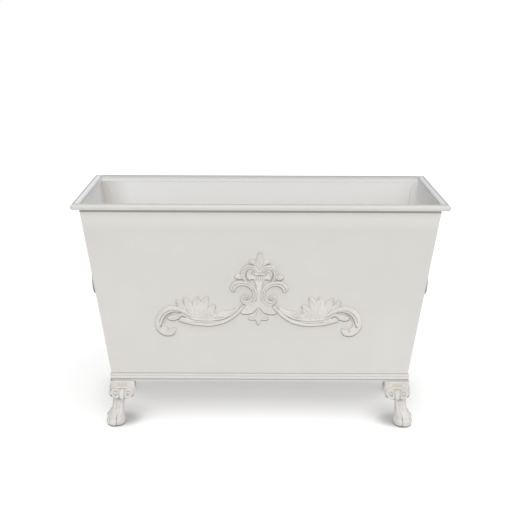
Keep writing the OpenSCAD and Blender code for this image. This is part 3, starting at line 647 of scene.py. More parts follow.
def bothSides(points):  # a path and its mirror image, or alone where it runs up the middle
    if max(abs(x) for x, _, _ in points) <= 1:
        return [points]
    return [points, [(-x, y, width) for x, y, width in points]]


def ornamentRelief(area):
    return Relief(*area, ornament["spacing"] * (1))


def scrollRelief():
    relief = ornamentRelief(scrollArm["area"])
    rib, leaf = ornament["rib"], ornament["leaf"]
    relief.plate(scrollArm["ground"], ornament["ground"])
    for i, points in enumerate(scrollArm["leaves"]):
        relief.stroke(points, leaf - 0.6 + 0.45 * i, leafy, 0.5)
        (rootX, rootY, _), (tipX, tipY, _) = points[-3], points[-1]
        middle = ((rootX + tipX) / 2, (rootY + tipY) / 2, 1.2)
        relief.carve([(rootX, rootY - 6, 0.8), middle, (tipX, tipY - 2, 0.7)], 1.1, 0.35)
        relief.rub(tipX, tipY - 3, 5.5, 0.8)
    for i in range(7):  # leaf bases that sweep down into the stem
        x = 112 + 11 * i
        sweep = [(x + 16, -14 + 1.5 * i, 1.2), (x + 8, -25 + i, 1.3), (x - 4, -33 + 0.4 * i, 1.1)]
        relief.carve(sweep, 0.9, 0.42)
    relief.stroke(scrollArm["longLeaf"], leaf, leafy, 0.3)
    relief.stroke(scrollArm["longLeafTip"], leaf + 0.8, leafy, 0.4)
    for strand in scrollArm["strands"]:
        relief.stroke(strand, leaf + 0.2, rounded, 0.35)
    relief.stroke(stem, rib, rounded, 0.55)
    relief.stroke(scrollArm["innerLeaf"], leaf + 0.8, leafy, 0.5)
    relief.stroke(scrollArm["stemTip"], rib + 0.3, rounded, 0.25)
    relief.carve(scrollArm["stemHook"], 1.0, 1.5)
    relief.carve(scrollArm["stemLine"], 0.9, 0.5)
    relief.stroke(scrollArm["curl"], rib, rounded, 0.3)
    relief.carve(scrollArm["curlLine"], 1.7, 1.2)
    relief.carve(scrollArm["curlGroove"], 2.8, 1.3)
    relief.carve(scrollArm["curlHollow"], 1.9, 0.12)
    for rub in scrollArm["rubs"]:
        relief.rub(*rub)
    seam = relief.x - ornament["split"] - ornament["seam"]
    relief.keep = np.where(relief.y > -ornament["split"], seam, relief.keep)
    return relief.cast()


def crestRelief():
    relief = ornamentRelief(crestParts["area"])
    rib, leaf, ground = ornament["rib"], ornament["leaf"], ornament["ground"]
    half = crestParts["valance"]
    relief.plate(half + [(-x, y) for x, y in half[-2:0:-1]], ground + 0.4)
    relief.plate(crestParts["heartPlate"], ground)
    relief.plate(crestParts["spinePlate"], ground + 0.8)
    for i in range(3):  # diagonal grooves in the two swags
        swag = [(15 + 9 * i, 4 - 2 * i, 1.0), (13 + 9 * i, -5 - i, 1.3), (17 + 8 * i, -14 - i, 1.0)]
        for points in bothSides(swag):
            relief.carve(points, 1.0, 0.28)
    for path, high, profile, overlap in (  # from the ones behind to those in front
            (crestParts["flute"], leaf - 0.6, rounded, 0.3), (crestParts["trefoilSide"], leaf, rounded, 0.8),
            (crestParts["trefoilMiddle"], leaf + 0.3, rounded, 0.8), (crestParts["sideStub"], leaf, leafy, 0.4),
            (crestParts["sideLeaf"], leaf, leafy, 0.6), (crestParts["dropArm"], leaf - 0.6, rounded, 0.3),
            (crestParts["heartCurl"], leaf + 0.6, rounded, 0.5), (crestParts["heart"], rib, channelled, 0.5),
            (crestParts["bigScroll"], rib, channelled, 0.4), (stem[:3], rib, rounded, 1.3),
            (crestParts["scrollEye"], rib - 0.4, rounded, 0.9), (crestParts["heartEye"], rib - 0.4, rounded, 0.9),
            (crestParts["bow"], rib, rounded, 0.9), (crestParts["bud"], rib - 0.6, leafy, 0.5),
            (crestParts["drop"], leaf + 0.6, leafy, 0.4)):
        for points in bothSides(path):
            relief.stroke(points, high, profile, overlap)
    for path, depth, wash in crestParts["grooves"]:
        for points in bothSides(path):
            relief.carve(points, depth, wash)
    for x, y, radius, strength in crestParts["rubs"]:
        for side in (-1, 1):
            relief.rub(side * x, y, radius, strength)
    seam = ornament["split"] - np.abs(relief.x)
    relief.keep = np.where(relief.y < crestParts["seamBelow"], seam, relief.keep)
    return relief.cast()


sharpAngle = 50  # degrees between faces, past which an edge stays sharp


def meshPiece(name, points, faces, values, material, angle=sharpAngle):  # from four-sided faces
    mesh = bpy.data.meshes.new(name)
    mesh.vertices.add(len(points))
    mesh.vertices.foreach_set("co", np.asarray(points, np.float32).ravel())
    mesh.loops.add(4 * len(faces))
    mesh.loops.foreach_set("vertex_index", np.asarray(faces, np.int32).ravel())
    mesh.polygons.add(len(faces))
    mesh.polygons.foreach_set("loop_start", 4 * np.arange(len(faces), dtype=np.int32))
    mesh.update(calc_edges=True)
    mesh.validate()
    for label, value in values.items():
        mesh.attributes.new(label, "FLOAT", "POINT").data.foreach_set("value", np.asarray(value, np.float32))
    mesh.polygons.foreach_set("use_smooth", np.ones(len(mesh.polygons), bool))
    mesh.set_sharp_from_angle(angle=math.radians(angle))
    mesh.materials.append(material)
    piece = bpy.data.objects.new(name, mesh)
    bpy.context.scene.collection.objects.link(piece)
    return piece


def placed(points, matrix, mirrored):  # mm on the wall to metres in the row's frame
    turned = np.array(points)
    if mirrored:
        turned[:, 0] *= -1
    matrix = np.array(matrix)
    return turned @ matrix[:3, :3].T + matrix[:3, 3]


def fixOrnament():
    casts = {"crest": crestRelief(), "scroll": scrollRelief()}
    for side in ("front", "back"):
        wall = onWall(side, ornament["height"]) @ Matrix.Translation((-ornament["shift"], 0, 0))
        tilt = wall @ Matrix.Rotation(math.radians(-ornament["lean"]), 4, "Z")
        for name, kind, matrix, mirrored in (
                (f"crest_{side}", "crest", tilt, False),
                (f"scroll_{side}_left", "scroll", wall, True),
                (f"scroll_{side}_right", "scroll", wall, False)):
            points, faces, values = casts[kind]
            faces = faces[:, ::-1] if mirrored else faces
            piece = meshPiece(name + "_casting", placed(points, matrix, mirrored), faces, values, ornamentPaint)
            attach(piece, "trough")
            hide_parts(name)
    print("ornament cast:", {kind: len(cast[1]) for kind, cast in casts.items()}, "faces")


fixOrnament()


# Feet: rings from the floor up, in mm about the knee's middle, outwards along +x and +y, turns in degrees
foot = {"rings": 208, "sides": 320, "capRings": (0.66, 0.33, 0.04), "sharpAngle": 60}
# height, shift outwards, half length and half width along and across the outward diagonal
legStations = [
    (0, 18.0, 20.0, 17.5), (4, 18.5, 23.6, 21.1), (17, 18.5, 24.8, 22.1), (29, 17.5, 23.2, 20.6),
    (38, 15.0, 19.6, 18.4), (48, 12.2, 15.2, 15.0), (60, 11.2, 13.9, 14.2), (70, 9.5, 15.0, 15.4),
    (82, 5.0, 19.0, 19.5), (124, 0.0, 24.0, 24.0),
]
paw = {  # turns are counted from the outward diagonal, and bands are height, width and rise
    "flutes": 8, "fluteDepth": 1.3, "fluteWash": 0.34, "ankle": (34, 48),
    "toe": 54, "toeTurn": (94, 82), "toeBands": [(31, 5.5, 1.6), (12, 5.0, 1.0), (21, 2.4, -1.2), (5.0, 1.2, -1.0)],
    "gapWidth": 3.4, "gapTop": (42, 30), "gapDepth": 3.2, "gapWash": 0.26,
    "heelTurn": (106, 130), "heelBands": [(15, 9, 1.4), (29, 2.2, -1.2)],
    "knuckle": {"turn": 62, "spread": 10, "height": 36, "rise": 14, "tan": 0.6},
    # painted contact shadow along the sole; wash in the hollows
    "soleTop": (6.5, 3.5), "soleShadow": 0.95, "hollow": 0.7,
}
# height and half width of the square knee with its leaf skirt
kneeStations = [(62, 25.0), (72, 27.5), (80, 30.2), (90, 31.4), (102, 31.0), (113, 29.8), (124, 29.2)]
knee = {
    "half": 34, "reach": 9, "shift": 1.0, "squareness": 7, "sunk": 1.2,
    "innerCut": 0.34, "cutTurn": (92, 150),                   # rounded off at the back
    "innerReach": 0.22, "reachHeights": (76, 108),            # the leaves reach further on the inner sides
    "spikeReach": 4.2, "spikeAcross": (34, 4.2), "spikeHeight": (90.5, 4.0), "spikeTurn": (70, 50),
    "hemSoft": (-0.7, 0.5), "hemRoll": (1.0, 1.6), "hemRise": 1.0,
    # wash in the grooves; painted shade along stroke edges, along the hem, under it and under the lip; tan on the
    # crown
    "grooves": 0.6, "edges": 0.85, "hemShadowLine": 0.75, "hemShade": 0.55, "lip": 0.4, "crown": 0.6,
}
# the skirt's lower edge on each face: distance from the face's middle and height
hemLine = [(0, 72.0), (4.0, 72.6), (7.5, 75.6), (9.5, 76.6), (12, 74.6), (16, 73.4), (20.5, 74.6), (25, 79.0),
           (29, 84.0), (32, 86.0), (36, 86.0)]
kneeLeaf = {  # strokes on one half of a face: across, height, half width
    "area": ((-36, 60), (36, 126)), "spacing": 0.4,
    "lobe": [(10, 99, 2.4), (17.5, 101.5, 3.6), (25.5, 97.5, 4.6), (26.6, 87.8, 5.0), (20.5, 79.8, 4.6),
             (12.5, 80.6, 3.8), (10.5, 87.0, 3.0)],
    "eye": [(16, 91.5, 3.4), (20, 92.4, 3.0), (20.3, 89.6, 2.0)],
    "arch": [(0, 107.6, 2.4), (9, 106.8, 2.8), (18, 104.6, 2.8), (26, 100.5, 2.4), (31, 95, 2.0)],
    "leaf": [(0, 102, 3.0), (0, 94, 6.2), (0, 84, 6.8), (0, 76, 5.6), (0, 72, 2.5)],
    "vein": [(0, 99, 0.5), (0, 87, 0.8), (0, 76, 0.5)],
    "spike": [(27, 98, 2.4), (31, 93.5, 3.4), (34.5, 90.2, 2.8)],
    "lip": [(0, 121.6, 2.0), (34, 121.6, 2.0)],
    "grooves": [[(3, 104.2, 1.0), (11, 103.4, 1.2), (19, 101.0, 1.2), (25.5, 96.6, 1.1), (28.6, 90.0, 1.0)],
                [(7.8, 101.5, 0.8), (8.2, 92.0, 1.0), (7.8, 82.0, 1.0), (6.0, 75.0, 0.8)],
                [(4, 111.4, 0.8), (14, 110.6, 1.0), (24, 107.4, 0.9), (31, 101.0, 0.8)],
                [(12.5, 96.4, 0.8), (18.5, 96.8, 0.9), (22.6, 92.6, 0.9), (22.0, 86.0, 0.9), (16, 84.4, 0.8),
                 (13.2, 88.2, 0.7)],
                [(20, 119, 0.7), (24.5, 113.5, 0.8), (31, 109.5, 0.8)], [(10, 119.5, 0.7), (13, 114.5, 0.8)]],
    "tips": [(-6, 114.6, 4.4, 0.9), (3, 115, 4.8, 1.0), (12, 114.4, 4.2, 0.8), (22, 113, 3.6, 0.5),
             (-1, 103.4, 4.2, 0.7), (8, 102.0, 3.6, 0.7), (16, 92, 3.6, 0.9), (-17, 90, 3.8, 0.9),
             (-20, 79, 3.6, 0.6), (34, 89.5, 4.4, 1.0), (-28, 106, 3.6, 0.5), (28, 111, 3.2, 0.6),
             (21, 79.5, 3.0, 0.4)],
}


def kneeFace():  # one face of the knee as a relief in mm, across and up
    relief = Relief(*kneeLeaf["area"], kneeLeaf["spacing"] * (1))
    relief.inside += 40  # the whole face counts as covered
    for name, high, overlap in (("lip", 1.5, 0.0), ("arch", 2.0, 0.5), ("spike", 2.2, 0.55), ("lobe", 2.9, 0.55),
                                ("eye", 2.8, 0.55), ("leaf", 2.8, 0.45)):
        for points in bothSides(kneeLeaf[name]):
            relief.stroke(points, high, rounded, overlap)
    for groove in kneeLeaf["grooves"]:
        for points in bothSides(groove):
            relief.carve(points, 0.9, 0.5)
    for side in (-1, 1):  # the mirrored rubs are fainter where they land on the left half
        for across, high, radius, strength in kneeLeaf["tips"]:
            relief.rub(side * across, high, radius, strength if side * across > 0 or side > 0 else strength * 0.5)
    relief.carve(kneeLeaf["vein"], 0.6, 0.25)
    return relief


def sampled(relief, field, x, y):  # the field of a relief at any places, between its grid points
    column = np.clip((x - relief.x[0, 0]) / relief.spacing, 0, field.shape[1] - 1.001)
    row = np.clip((y - relief.y[0, 0]) / relief.spacing, 0, field.shape[0] - 1.001)
    i, j = row.astype(int), column.astype(int)
    u, v = row - i, column - j
    return ((field[i, j] * (1 - u) + field[i + 1, j] * u) * (1 - v)
            + (field[i, j + 1] * (1 - u) + field[i + 1, j + 1] * u) * v)


def footSurface():  # one foot as ring points with the paint's values
    fine = 1
    rings, sides = foot["rings"] // fine, foot["sides"] // fine
    z = np.linspace(0, trough["footHeight"], rings + 1)[:, None]
    turn = np.radians((np.arange(sides) + 0.5) * 360 / sides)[None, :]
    leg, block = np.array(legStations), np.array(kneeStations)

    def along(table, column):  # a smooth run through a station table
        upper = np.clip(np.searchsorted(table[:, 0], z[:, 0], "right"), 1, len(table) - 1)
        t = np.clip((z[:, 0] - table[upper - 1, 0]) / (table[upper, 0] - table[upper - 1, 0]), 0, 1)
        low, high = table[upper - 1, column], table[upper, column]
        return (low + (high - low) * t * t * (3 - 2 * t))[:, None]

    diagonal = turn - math.radians(45)
    bend = (np.degrees(diagonal) + 540) % 360 - 180  # degrees from the outward diagonal
    quarter = (np.degrees(turn) + 45) % 90 - 45      # degrees from the middle of a face
    across = knee["half"] * np.tan(np.radians(quarter)) + 0 * z  # the same on every ring
    high = z + 0 * across
    aside, astern = np.abs(across), np.abs(bend)

    # the knee: a square block with rounded corners, its faces carved and its skirt hanging free
    face = kneeFace()
    carving = sampled(face, softened(face.height, 0.5 / face.spacing), across, high)
    hem = np.interp(aside, *np.array(hemLine).T)
    skirt = easeStep(z, *(hem + soft for soft in knee["hemSoft"]))
    power = knee["squareness"]
    square = (np.abs(np.cos(turn)) ** power + np.abs(np.sin(turn)) ** power) ** (-1 / power)
    square = square * (1 - knee["innerCut"] * easeStep(astern, *knee["cutTurn"]))
    spike = bell(aside, *knee["spikeAcross"]) * bell(z, *knee["spikeHeight"]) * easeStep(astern, *knee["spikeTurn"])
    rollAt, rollWidth = knee["hemRoll"]
    bulk = (along(block, 1) * square + carving - knee["sunk"] + knee["spikeReach"] * spike
            - knee["hemRise"] * bell(z, hem + rollAt, rollWidth))

    # the leg: a fluted ankle and four toes with knuckles and claws, a heel pad behind
    flutes = np.cos(np.radians(bend * paw["flutes"]))
    ankle = easeStep(z, *paw["ankle"])
    front = easeStep(astern, *paw["toeTurn"])
    heel = easeStep(astern, *paw["heelTurn"])
    toward = np.abs((bend + paw["toe"] / 2) % paw["toe"] - paw["toe"] / 2)  # from the nearest gap between toes
    gap = bell(toward, 0, paw["gapWidth"]) * easeStep(z, *paw["gapTop"]) * front
    relief = paw["fluteDepth"] * ankle * flutes - paw["gapDepth"] * gap
    relief += front * sum(rise * bell(z, middle, width) for middle, width, rise in paw["toeBands"])
    relief += heel * sum(rise * bell(z, middle, width) for middle, width, rise in paw["heelBands"])
    wash = paw["fluteWash"] * ankle * np.clip(-flutes, 0, 1) ** 2 + paw["gapWash"] * gap
    oval = 1 / np.sqrt((np.cos(diagonal) / along(leg, 2)) ** 2 + (np.sin(diagonal) / along(leg, 3)) ** 2) + relief

    shift = along(leg, 1) * (1 - skirt) + knee["shift"] * skirt
    radius = oval * (1 - skirt) + bulk * skirt
    widen = 1 + knee["innerReach"] * skirt * easeStep(z, *knee["reachHeights"])
    spread = [shift + radius * wave for wave in (np.cos(turn), np.sin(turn))]
    points = np.stack([np.where(side < 0, side * widen, side) for side in spread] + [z + 0 * radius], 2)

    # wash in the paw's hollows, flutes and toe gaps; painted contact shadow along the sole, painted shade under the
    # hem
    hollow = np.clip((softened(relief, 3.0 / fine) - relief) / 1.8, 0, 1) * paw["hollow"]
    soleShadow = paw["soleShadow"] * easeStep(high, *paw["soleTop"])
    onLeg = np.maximum.reduce([hollow, wash, soleShadow, knee["hemShade"] * bell(z, hem - 2.2, 3.0)])
    deep = np.clip((softened(carving, 3.0 / fine) - carving) / 1.4, 0, 1)
    # on the knee: wash in the grooves, with painted shade along stroke edges, the hem's lower edge and under the lip
    onKnee = np.maximum.reduce([
        knee["grooves"] * deep, knee["edges"] * sampled(face, face.line, across, high),
        knee["hemShadowLine"] * bell(z, hem + 0.2, 1.1), knee["lip"] * bell(high, 119.6, 0.6)])
    knuckle = paw["knuckle"]
    rubbed = bell(astern, knuckle["turn"], knuckle["spread"]) * bell(z, knuckle["height"], knuckle["rise"])
    paint = {"washAndShade": onLeg * (1 - skirt) + onKnee * skirt,
             "crown": knee["crown"] * skirt * np.clip(carving / 3 - 0.4, 0, 1),
             "tips": skirt * sampled(face, face.tips, across, high) + knuckle["tan"] * (1 - skirt) * rubbed}
    return points, {name: np.clip(value, 0, 1) for name, value in paint.items()}


def standFeet():
    points, paint = footSurface()
    rings, sides = points.shape[:2]
    index = np.arange(rings * sides).reshape(rings, sides)
    beside = np.roll(index, -1, axis=1)
    wall = np.stack([index[:-1], beside[:-1], beside[1:], index[1:]], 2).reshape(-1, 4)
    caps, extra = [], []
    count = rings * sides
    for ring, upward in ((0, False), (rings - 1, True)):  # each end closes through shrinking rings
        edge = points[ring]
        middle = edge.mean(0)
        previous = index[ring]
        for share in foot["capRings"]:
            now = count + np.arange(sides)
            count += sides
            extra.append(middle + (edge - middle) * share)
            quads = np.stack([previous, np.roll(previous, -1), np.roll(now, -1), now], 1)
            caps.append(quads if upward else quads[:, ::-1])
            previous = now
        for i in range(sides // 2 - 1):
            quad = [previous[i], previous[i + 1], previous[sides - 2 - i], previous[(sides - 1 - i) % sides]]
            caps.append(np.array([quad if upward else quad[::-1]]))
    body = np.concatenate([points.reshape(-1, 3)] + extra)
    faces = np.concatenate([wall] + caps)
    blank = np.zeros(len(body) - rings * sides)
    values = {name: np.concatenate([value.ravel(), blank]) for name, value in paint.items()}
    out = {name: wallDistance(name, barTop) + trough["plinthReach"] + knee["reach"] - knee["half"]
           for name in ("right", "front")}
    for ends, left in (("front_left", True), ("front_right", False), ("back_left", True), ("back_right", False)):
        spot = body + np.array([out["right"], out["front"], 0])
        spot[:, 0] *= -1 if left else 1
        spot[:, 1] *= -1 if ends.startswith("front") else 1
        flipped = left != ends.startswith("front")
        piece = meshPiece(f"claw_foot_{ends}", spot * mm, faces[:, ::-1] if flipped else faces,
                          values, castPaint, foot["sharpAngle"])
        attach(piece, "trough")
        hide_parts(f"foot_{ends}")
    print("feet cast:", len(faces), "faces each")


standFeet()


# Handles: bails, rivet heads and plate borders grown by Geometry Nodes, in mm on the end walls
handle = {
    "height": 435, "stand": 10.6, "drop": 100, "lugSpan": 124, "eyeGap": 0.3, "bend": 44,
    "rod": 4.0, "swell": 2.0, "bead": 1.1, "eyeOuter": 6.5, "eyeBore": 2.6, "sides": 32, "spacing": 1.6,
    "intoEye": 0.8, "eyeRound": 0.9, "eyeRoundSteps": 3,
    # along half of the bail, from 0 at the grip's middle to 1 at the eyes: beads are place, half width and size
    "grip": (0.02, 0.16), "neck": (0.90, 1.0), "neckSwell": 0.6,
    "beads": [(0.185, 0.016, 1.0), (0.222, 0.013, 0.7), (0.60, 0.016, 0.8)],
}
plate = {"thickness": 3, "length": 180, "height": 26, "sheet": 1.2,
         "border": 1.3, "inset": 2.6, "spacing": 1.2, "sides": 12}
rivetHead = {"radius": 5.0, "height": 2.7, "rings": 10, "sides": 28, "innerShare": 0.55,
             "sunk": 0.4, "fullness": 1.02, "roundness": 2.4,
             "across": (77, 39)}  # distances of the rivets from the plate's middle


class Grower(Bench):  # a Geometry Nodes tree with named inputs
    def __init__(self, name):
        super().__init__(bpy.data.node_groups.new(name, "GeometryNodeTree"))
        self.tree.interface.new_socket("Geometry", in_out="OUTPUT", socket_type="NodeSocketGeometry")
        self.entry = self.tree.nodes.new("NodeGroupInput")
        self.identifiers = {}
        self.source = self.take("Geometry", "Geometry")

    def take(self, name, kind="Float"):
        socket = self.tree.interface.new_socket(name, in_out="INPUT", socket_type="NodeSocket" + kind)
        self.identifiers[name] = socket.identifier
        return Wire(self, next(out for out in self.entry.outputs if out.identifier == socket.identifier))

    def sweep(self, path, radius, sides):  # a round rod along a path, as thick as the rule says
        ring = self.node("GeometryNodeCurvePrimitiveCircle", {"mode": "RADIUS"}, {"Resolution": sides, "Radius": 1.0})
        return self.node("GeometryNodeCurveToMesh", {}, {
            "Curve": path, "Profile Curve": ring, "Scale": radius, "Fill Caps": True})

    def close(self, geometry):
        smooth = self.node("GeometryNodeSetShadeSmooth", {}, {"Geometry": geometry})
        plain = self.node("GeometryNodeRealizeInstances", {}, {"Geometry": smooth})
        painted = self.node("GeometryNodeSetMaterial", {}, {
            "Geometry": plain, "Material": self.take("Material", "Material")})
        self.tree.links.new(painted.socket, self.tree.nodes.new("NodeGroupOutput").inputs[0])
        return self

    def grow(self, name, points, closed, sizes, place, material):  # a plain mesh piece from a line of points
        mesh = bpy.data.meshes.new(name)
        links = [] if closed is None else [(i, i + 1) for i in range(len(points) - 1)]
        mesh.from_pydata(points, links + ([(len(points) - 1, 0)] if closed else []), [])
        seed = bpy.data.objects.new(name, mesh)
        bpy.context.scene.collection.objects.link(seed)
        modifier = seed.modifiers.new(self.tree.name, "NODES")
        modifier.node_group = self.tree
        for label, value in {**sizes, "Material": material}.items():
            modifier[self.identifiers[label]] = value
        grown = bpy.data.meshes.new_from_object(seed.evaluated_get(bpy.context.evaluated_depsgraph_get()))
        seed.modifiers.remove(modifier)
        grown.transform(place)
        grown.name = name
        seed.data = grown
        grown.set_sharp_from_angle(angle=math.radians(sharpAngle))
        return seed


def bailTree():  # a swelling grip between two pairs of beads, with an eye at each end
    tree = Grower("bail")
    rod, swell, bead, eye, wall, out = (tree.take(name) for name in (
        "Rod Radius", "Grip Swell", "Bead Height", "Eye Radius", "Eye Wall", "Eye Distance"))
    sides = tree.take("Sides", "Int")
    path = tree.node("GeometryNodeResampleCurve", {"mode": "LENGTH"}, {
        "Curve": tree.node("GeometryNodeMeshToCurve", {}, {"Mesh": tree.source}), "Length": tree.take("Spacing")})
    share = tree.node("GeometryNodeSplineParameter")
    off = share.math("ABSOLUTE", share * 2.0 - 1.0)  # 0 at the grip's middle, 1 at the eyes
    radius = (rod + swell * tree.fade(off, *handle["grip"], 1.0, 0.0)
              + handle["neckSwell"] * tree.fade(off, *handle["neck"]))
    for middle, width, size in handle["beads"]:
        step = (off - middle) / width
        radius = radius + bead * size * tree.fade(step * step, 0.1, 1.0, 1.0, 0.0)
    body = tree.sweep(path, radius, sides)
    ring = tree.node("GeometryNodeCurvePrimitiveCircle", {"mode": "RADIUS"}, {"Resolution": sides, "Radius": eye})
    bar = tree.node("GeometryNodeCurvePrimitiveQuadrilateral", {"mode": "RECTANGLE"}, {
        "Width": wall * 2.0, "Height": rod * 2.0})
    section = tree.node("GeometryNodeFilletCurve", {"mode": "POLY"}, {
        "Curve": bar, "Radius": handle["eyeRound"], "Count": handle["eyeRoundSteps"]})
    loop = tree.node("GeometryNodeCurveToMesh", {}, {"Curve": ring, "Profile Curve": section})
    ends = [tree.node("GeometryNodeTransform", {}, {
        "Geometry": loop, "Rotation": (0, math.radians(90), 0),
        "Translation": tree.node("ShaderNodeCombineXYZ", {}, {"X": out * side})}) for side in (-1.0, 1.0)]
    joined = tree.tree.nodes.new("GeometryNodeJoinGeometry")
    for part in [body] + ends:
        tree.tree.links.new(part.socket, joined.inputs[0])
    return tree.close(Wire(tree, joined.outputs[0]))


def rivetTree():  # a domed head on each point, smaller and turned over inside the wall
    tree = Grower("rivet row")
    radius, height, inner = (tree.take(name) for name in ("Head Radius", "Head Height", "Inner Share"))
    sides, rings = (tree.take(name, "Int") for name in ("Sides", "Rings"))
    column = tree.node("GeometryNodeCurvePrimitiveLine", {"mode": "POINTS"}, {
        "Start": (0, 0, -rivetHead["sunk"]), "End": tree.node("ShaderNodeCombineXYZ", {}, {"Z": height})})
    line = tree.node("GeometryNodeResampleCurve", {"mode": "COUNT"}, {"Count": rings, "Curve": column})
    share = tree.node("GeometryNodeSplineParameter")
    head = tree.sweep(line, radius * (rivetHead["fullness"] - share ** rivetHead["roundness"]) ** 0.5, sides)
    below = tree.node("ShaderNodeSeparateXYZ", {}, {"Vector": tree.node("GeometryNodeInputPosition")}, "Z")
    inside = below.math("LESS_THAN", below, 0.0)
    placed = tree.node("GeometryNodeInstanceOnPoints", {}, {
        "Points": tree.source, "Instance": head,
        "Rotation": tree.node("ShaderNodeCombineXYZ", {}, {"X": inside * math.pi}),
        "Scale": tree.node("ShaderNodeCombineXYZ", {}, {"X": 1.0, "Y": 1.0, "Z": 1.0 - inside * (1.0 - inner)})})
    return tree.close(placed)


def borderTree():  # a half round bead along a line
    tree = Grower("plate border")
    path = tree.node("GeometryNodeResampleCurve", {"mode": "LENGTH"}, {
        "Curve": tree.node("GeometryNodeMeshToCurve", {}, {"Mesh": tree.source}), "Length": tree.take("Spacing")})
    return tree.close(tree.sweep(path, tree.take("Border Radius"), tree.take("Sides", "Int")))


def arcPoints(middle, radius, start, stop, steps=24):  # in the xz plane, angles in degrees
    turns = [math.radians(start + (stop - start) * i / steps) for i in range(steps + 1)]
    return [(middle[0] + radius * math.cos(turn), 0, middle[1] + radius * math.sin(turn)) for turn in turns]


def hangHandles():
    arm = handle["lugSpan"] / 2 + handle["eyeGap"] + handle["rod"]
    low = handle["bend"] - handle["drop"]
    top = -handle["eyeBore"] - handle["intoEye"]
    path = ([(arm, 0, top)] + arcPoints((arm - handle["bend"], low), handle["bend"], 0, -90)
            + arcPoints((handle["bend"] - arm, low), handle["bend"], -90, -180) + [(-arm, 0, top)])
    bail, rivets, border = bailTree(), rivetTree(), borderTree()
    endRadius = plate["height"] / 2 - plate["inset"]
    reach = plate["length"] / 2 - plate["height"] / 2
    outline = [(x, z, plate["thickness"]) for x, _, z in
               arcPoints((reach, 0), endRadius, -90, 90) + arcPoints((-reach, 0), endRadius, 90, 270)]
    lean = math.radians(trough["lean"])
    pivot = (wallDistance("right", handle["height"]) + handle["stand"] * math.cos(lean),
             handle["height"] - handle["stand"] * math.sin(lean))
    for side in ("left", "right"):
        wall = onWall(side, handle["height"])
        hung = (Matrix.Scale(mm, 4) @ Matrix.Rotation(math.radians(sideTurn[side]), 4, "Z")
                @ Matrix.Translation((0, -pivot[0], pivot[1])))
        swung = bail.grow(f"{side}_bail", path, False, {
            "Rod Radius": handle["rod"], "Grip Swell": handle["swell"], "Bead Height": handle["bead"],
            "Eye Radius": (handle["eyeOuter"] + handle["eyeBore"]) / 2,
            "Eye Wall": (handle["eyeOuter"] - handle["eyeBore"]) / 2, "Eye Distance": arm,
            "Sides": handle["sides"], "Spacing": handle["spacing"]}, hung, handlePaint)
        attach(swung, f"{side}_handle")
        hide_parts(f"{side}_handle_bail")
        spots = [(sign * x, 0, height) for height in (plate["thickness"], -plate["sheet"])
                 for sign in (-1, 1) for x in rivetHead["across"]]
        heads = rivets.grow(f"{side}_rivet_heads", spots, None, {
            "Head Radius": rivetHead["radius"], "Head Height": rivetHead["height"],
            "Inner Share": rivetHead["innerShare"], "Sides": rivetHead["sides"],
            "Rings": rivetHead["rings"]}, wall, zinc)
        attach(heads, "trough")
        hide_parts(f"{side}_handle_rivets")
        edge = border.grow(f"{side}_plate_border", outline, True, {
            "Border Radius": plate["border"], "Spacing": plate["spacing"], "Sides": plate["sides"]}, wall, platePaint)
        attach(edge, "trough")
        print(f"{side} handle grown:", [len(piece.data.polygons) for piece in (swung, heads, edge)], "faces")


hangHandles()


# Rim corners: the weld that closes each mitre of the hollow rolled rim, ground round
cornerWeld = {"radius": 6.85, "squash": 0.99, "rings": 24, "sides": 40, "poleAngle": 88}


def weldCorners():  # lathed balls, one in each corner, as one piece
    rings, sides = cornerWeld["rings"], cornerWeld["sides"]
    dip = np.radians(np.linspace(-cornerWeld["poleAngle"], cornerWeld["poleAngle"], rings))[:, None]
    turn = np.radians(np.arange(sides) * 360 / sides)[None, :]
    ball = np.stack([np.cos(dip) * np.cos(turn), np.cos(dip) * np.sin(turn),
                     cornerWeld["squash"] * np.sin(dip) + 0 * turn], 2).reshape(-1, 3) * cornerWeld["radius"]
    index = np.arange(rings * sides).reshape(rings, sides)
    beside = np.roll(index, -1, axis=1)
    quads = np.stack([index[:-1], beside[:-1], beside[1:], index[1:]], 2).reshape(-1, 4)
    caps = [[row[i], row[i + 1], row[sides - 2 - i], row[(sides - 1 - i) % sides]][::order]
            for row, order in ((index[0], -1), (index[-1], 1)) for i in range(sides // 2 - 1)]
    faces = np.concatenate([quads, np.array(caps)])
    inset = trough["cornerRadius"]
    middles = [(x * (halfLength - inset), y * (halfDepth - inset), trough["height"] - inset)
               for x in (-1, 1) for y in (-1, 1)]
    points = np.concatenate([ball + np.array(middle) for middle in middles])
    every = np.concatenate([faces + i * len(ball) for i in range(len(middles))])
    piece = meshPiece("rim_corner_welds", points * mm, every, {}, rimPaint)
    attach(piece, "trough")
    print("rim corners welded:", len(every), "faces")


weldCorners()


studio = {  # in metres, but the camera's place and focal length in mm
    "cameraPlace": (-10.4, -2584.06, 1107.9), "pitch": 14.82, "roll": 0.2, "focal": 71.43, "sensor": 36,
    # the floor glows white clear of the body, and the glow dims into painted shadow under it
    "floor": (9, 9), "footprint": (0.38, 0.16), "glow": (0.27, 0.50), "spread": 0.10, "glowDepth": (0.20, -0.12),
    # painted shadow round each front paw: middle, where it starts and ends, how dark
    "shadowPools": [((0.366, -0.090), 0.024, 0.068, 0.80), ((0.366, -0.055), 0.020, 0.110, 0.42)],
    "shadowPoolSide": (0.400, 0.365),
    "ambient": 0.15, "front": 1.9, "focus": 2.0, "from": (0.10, -0.53, 0.85),
    "key": {"place": (0.5, -2.6, 2.6), "target": (0, 0, 0.35), "size": 1.4, "power": 8},
}


def distance(across, along):  # of two wires
    return (across * across + along * along) ** 0.5


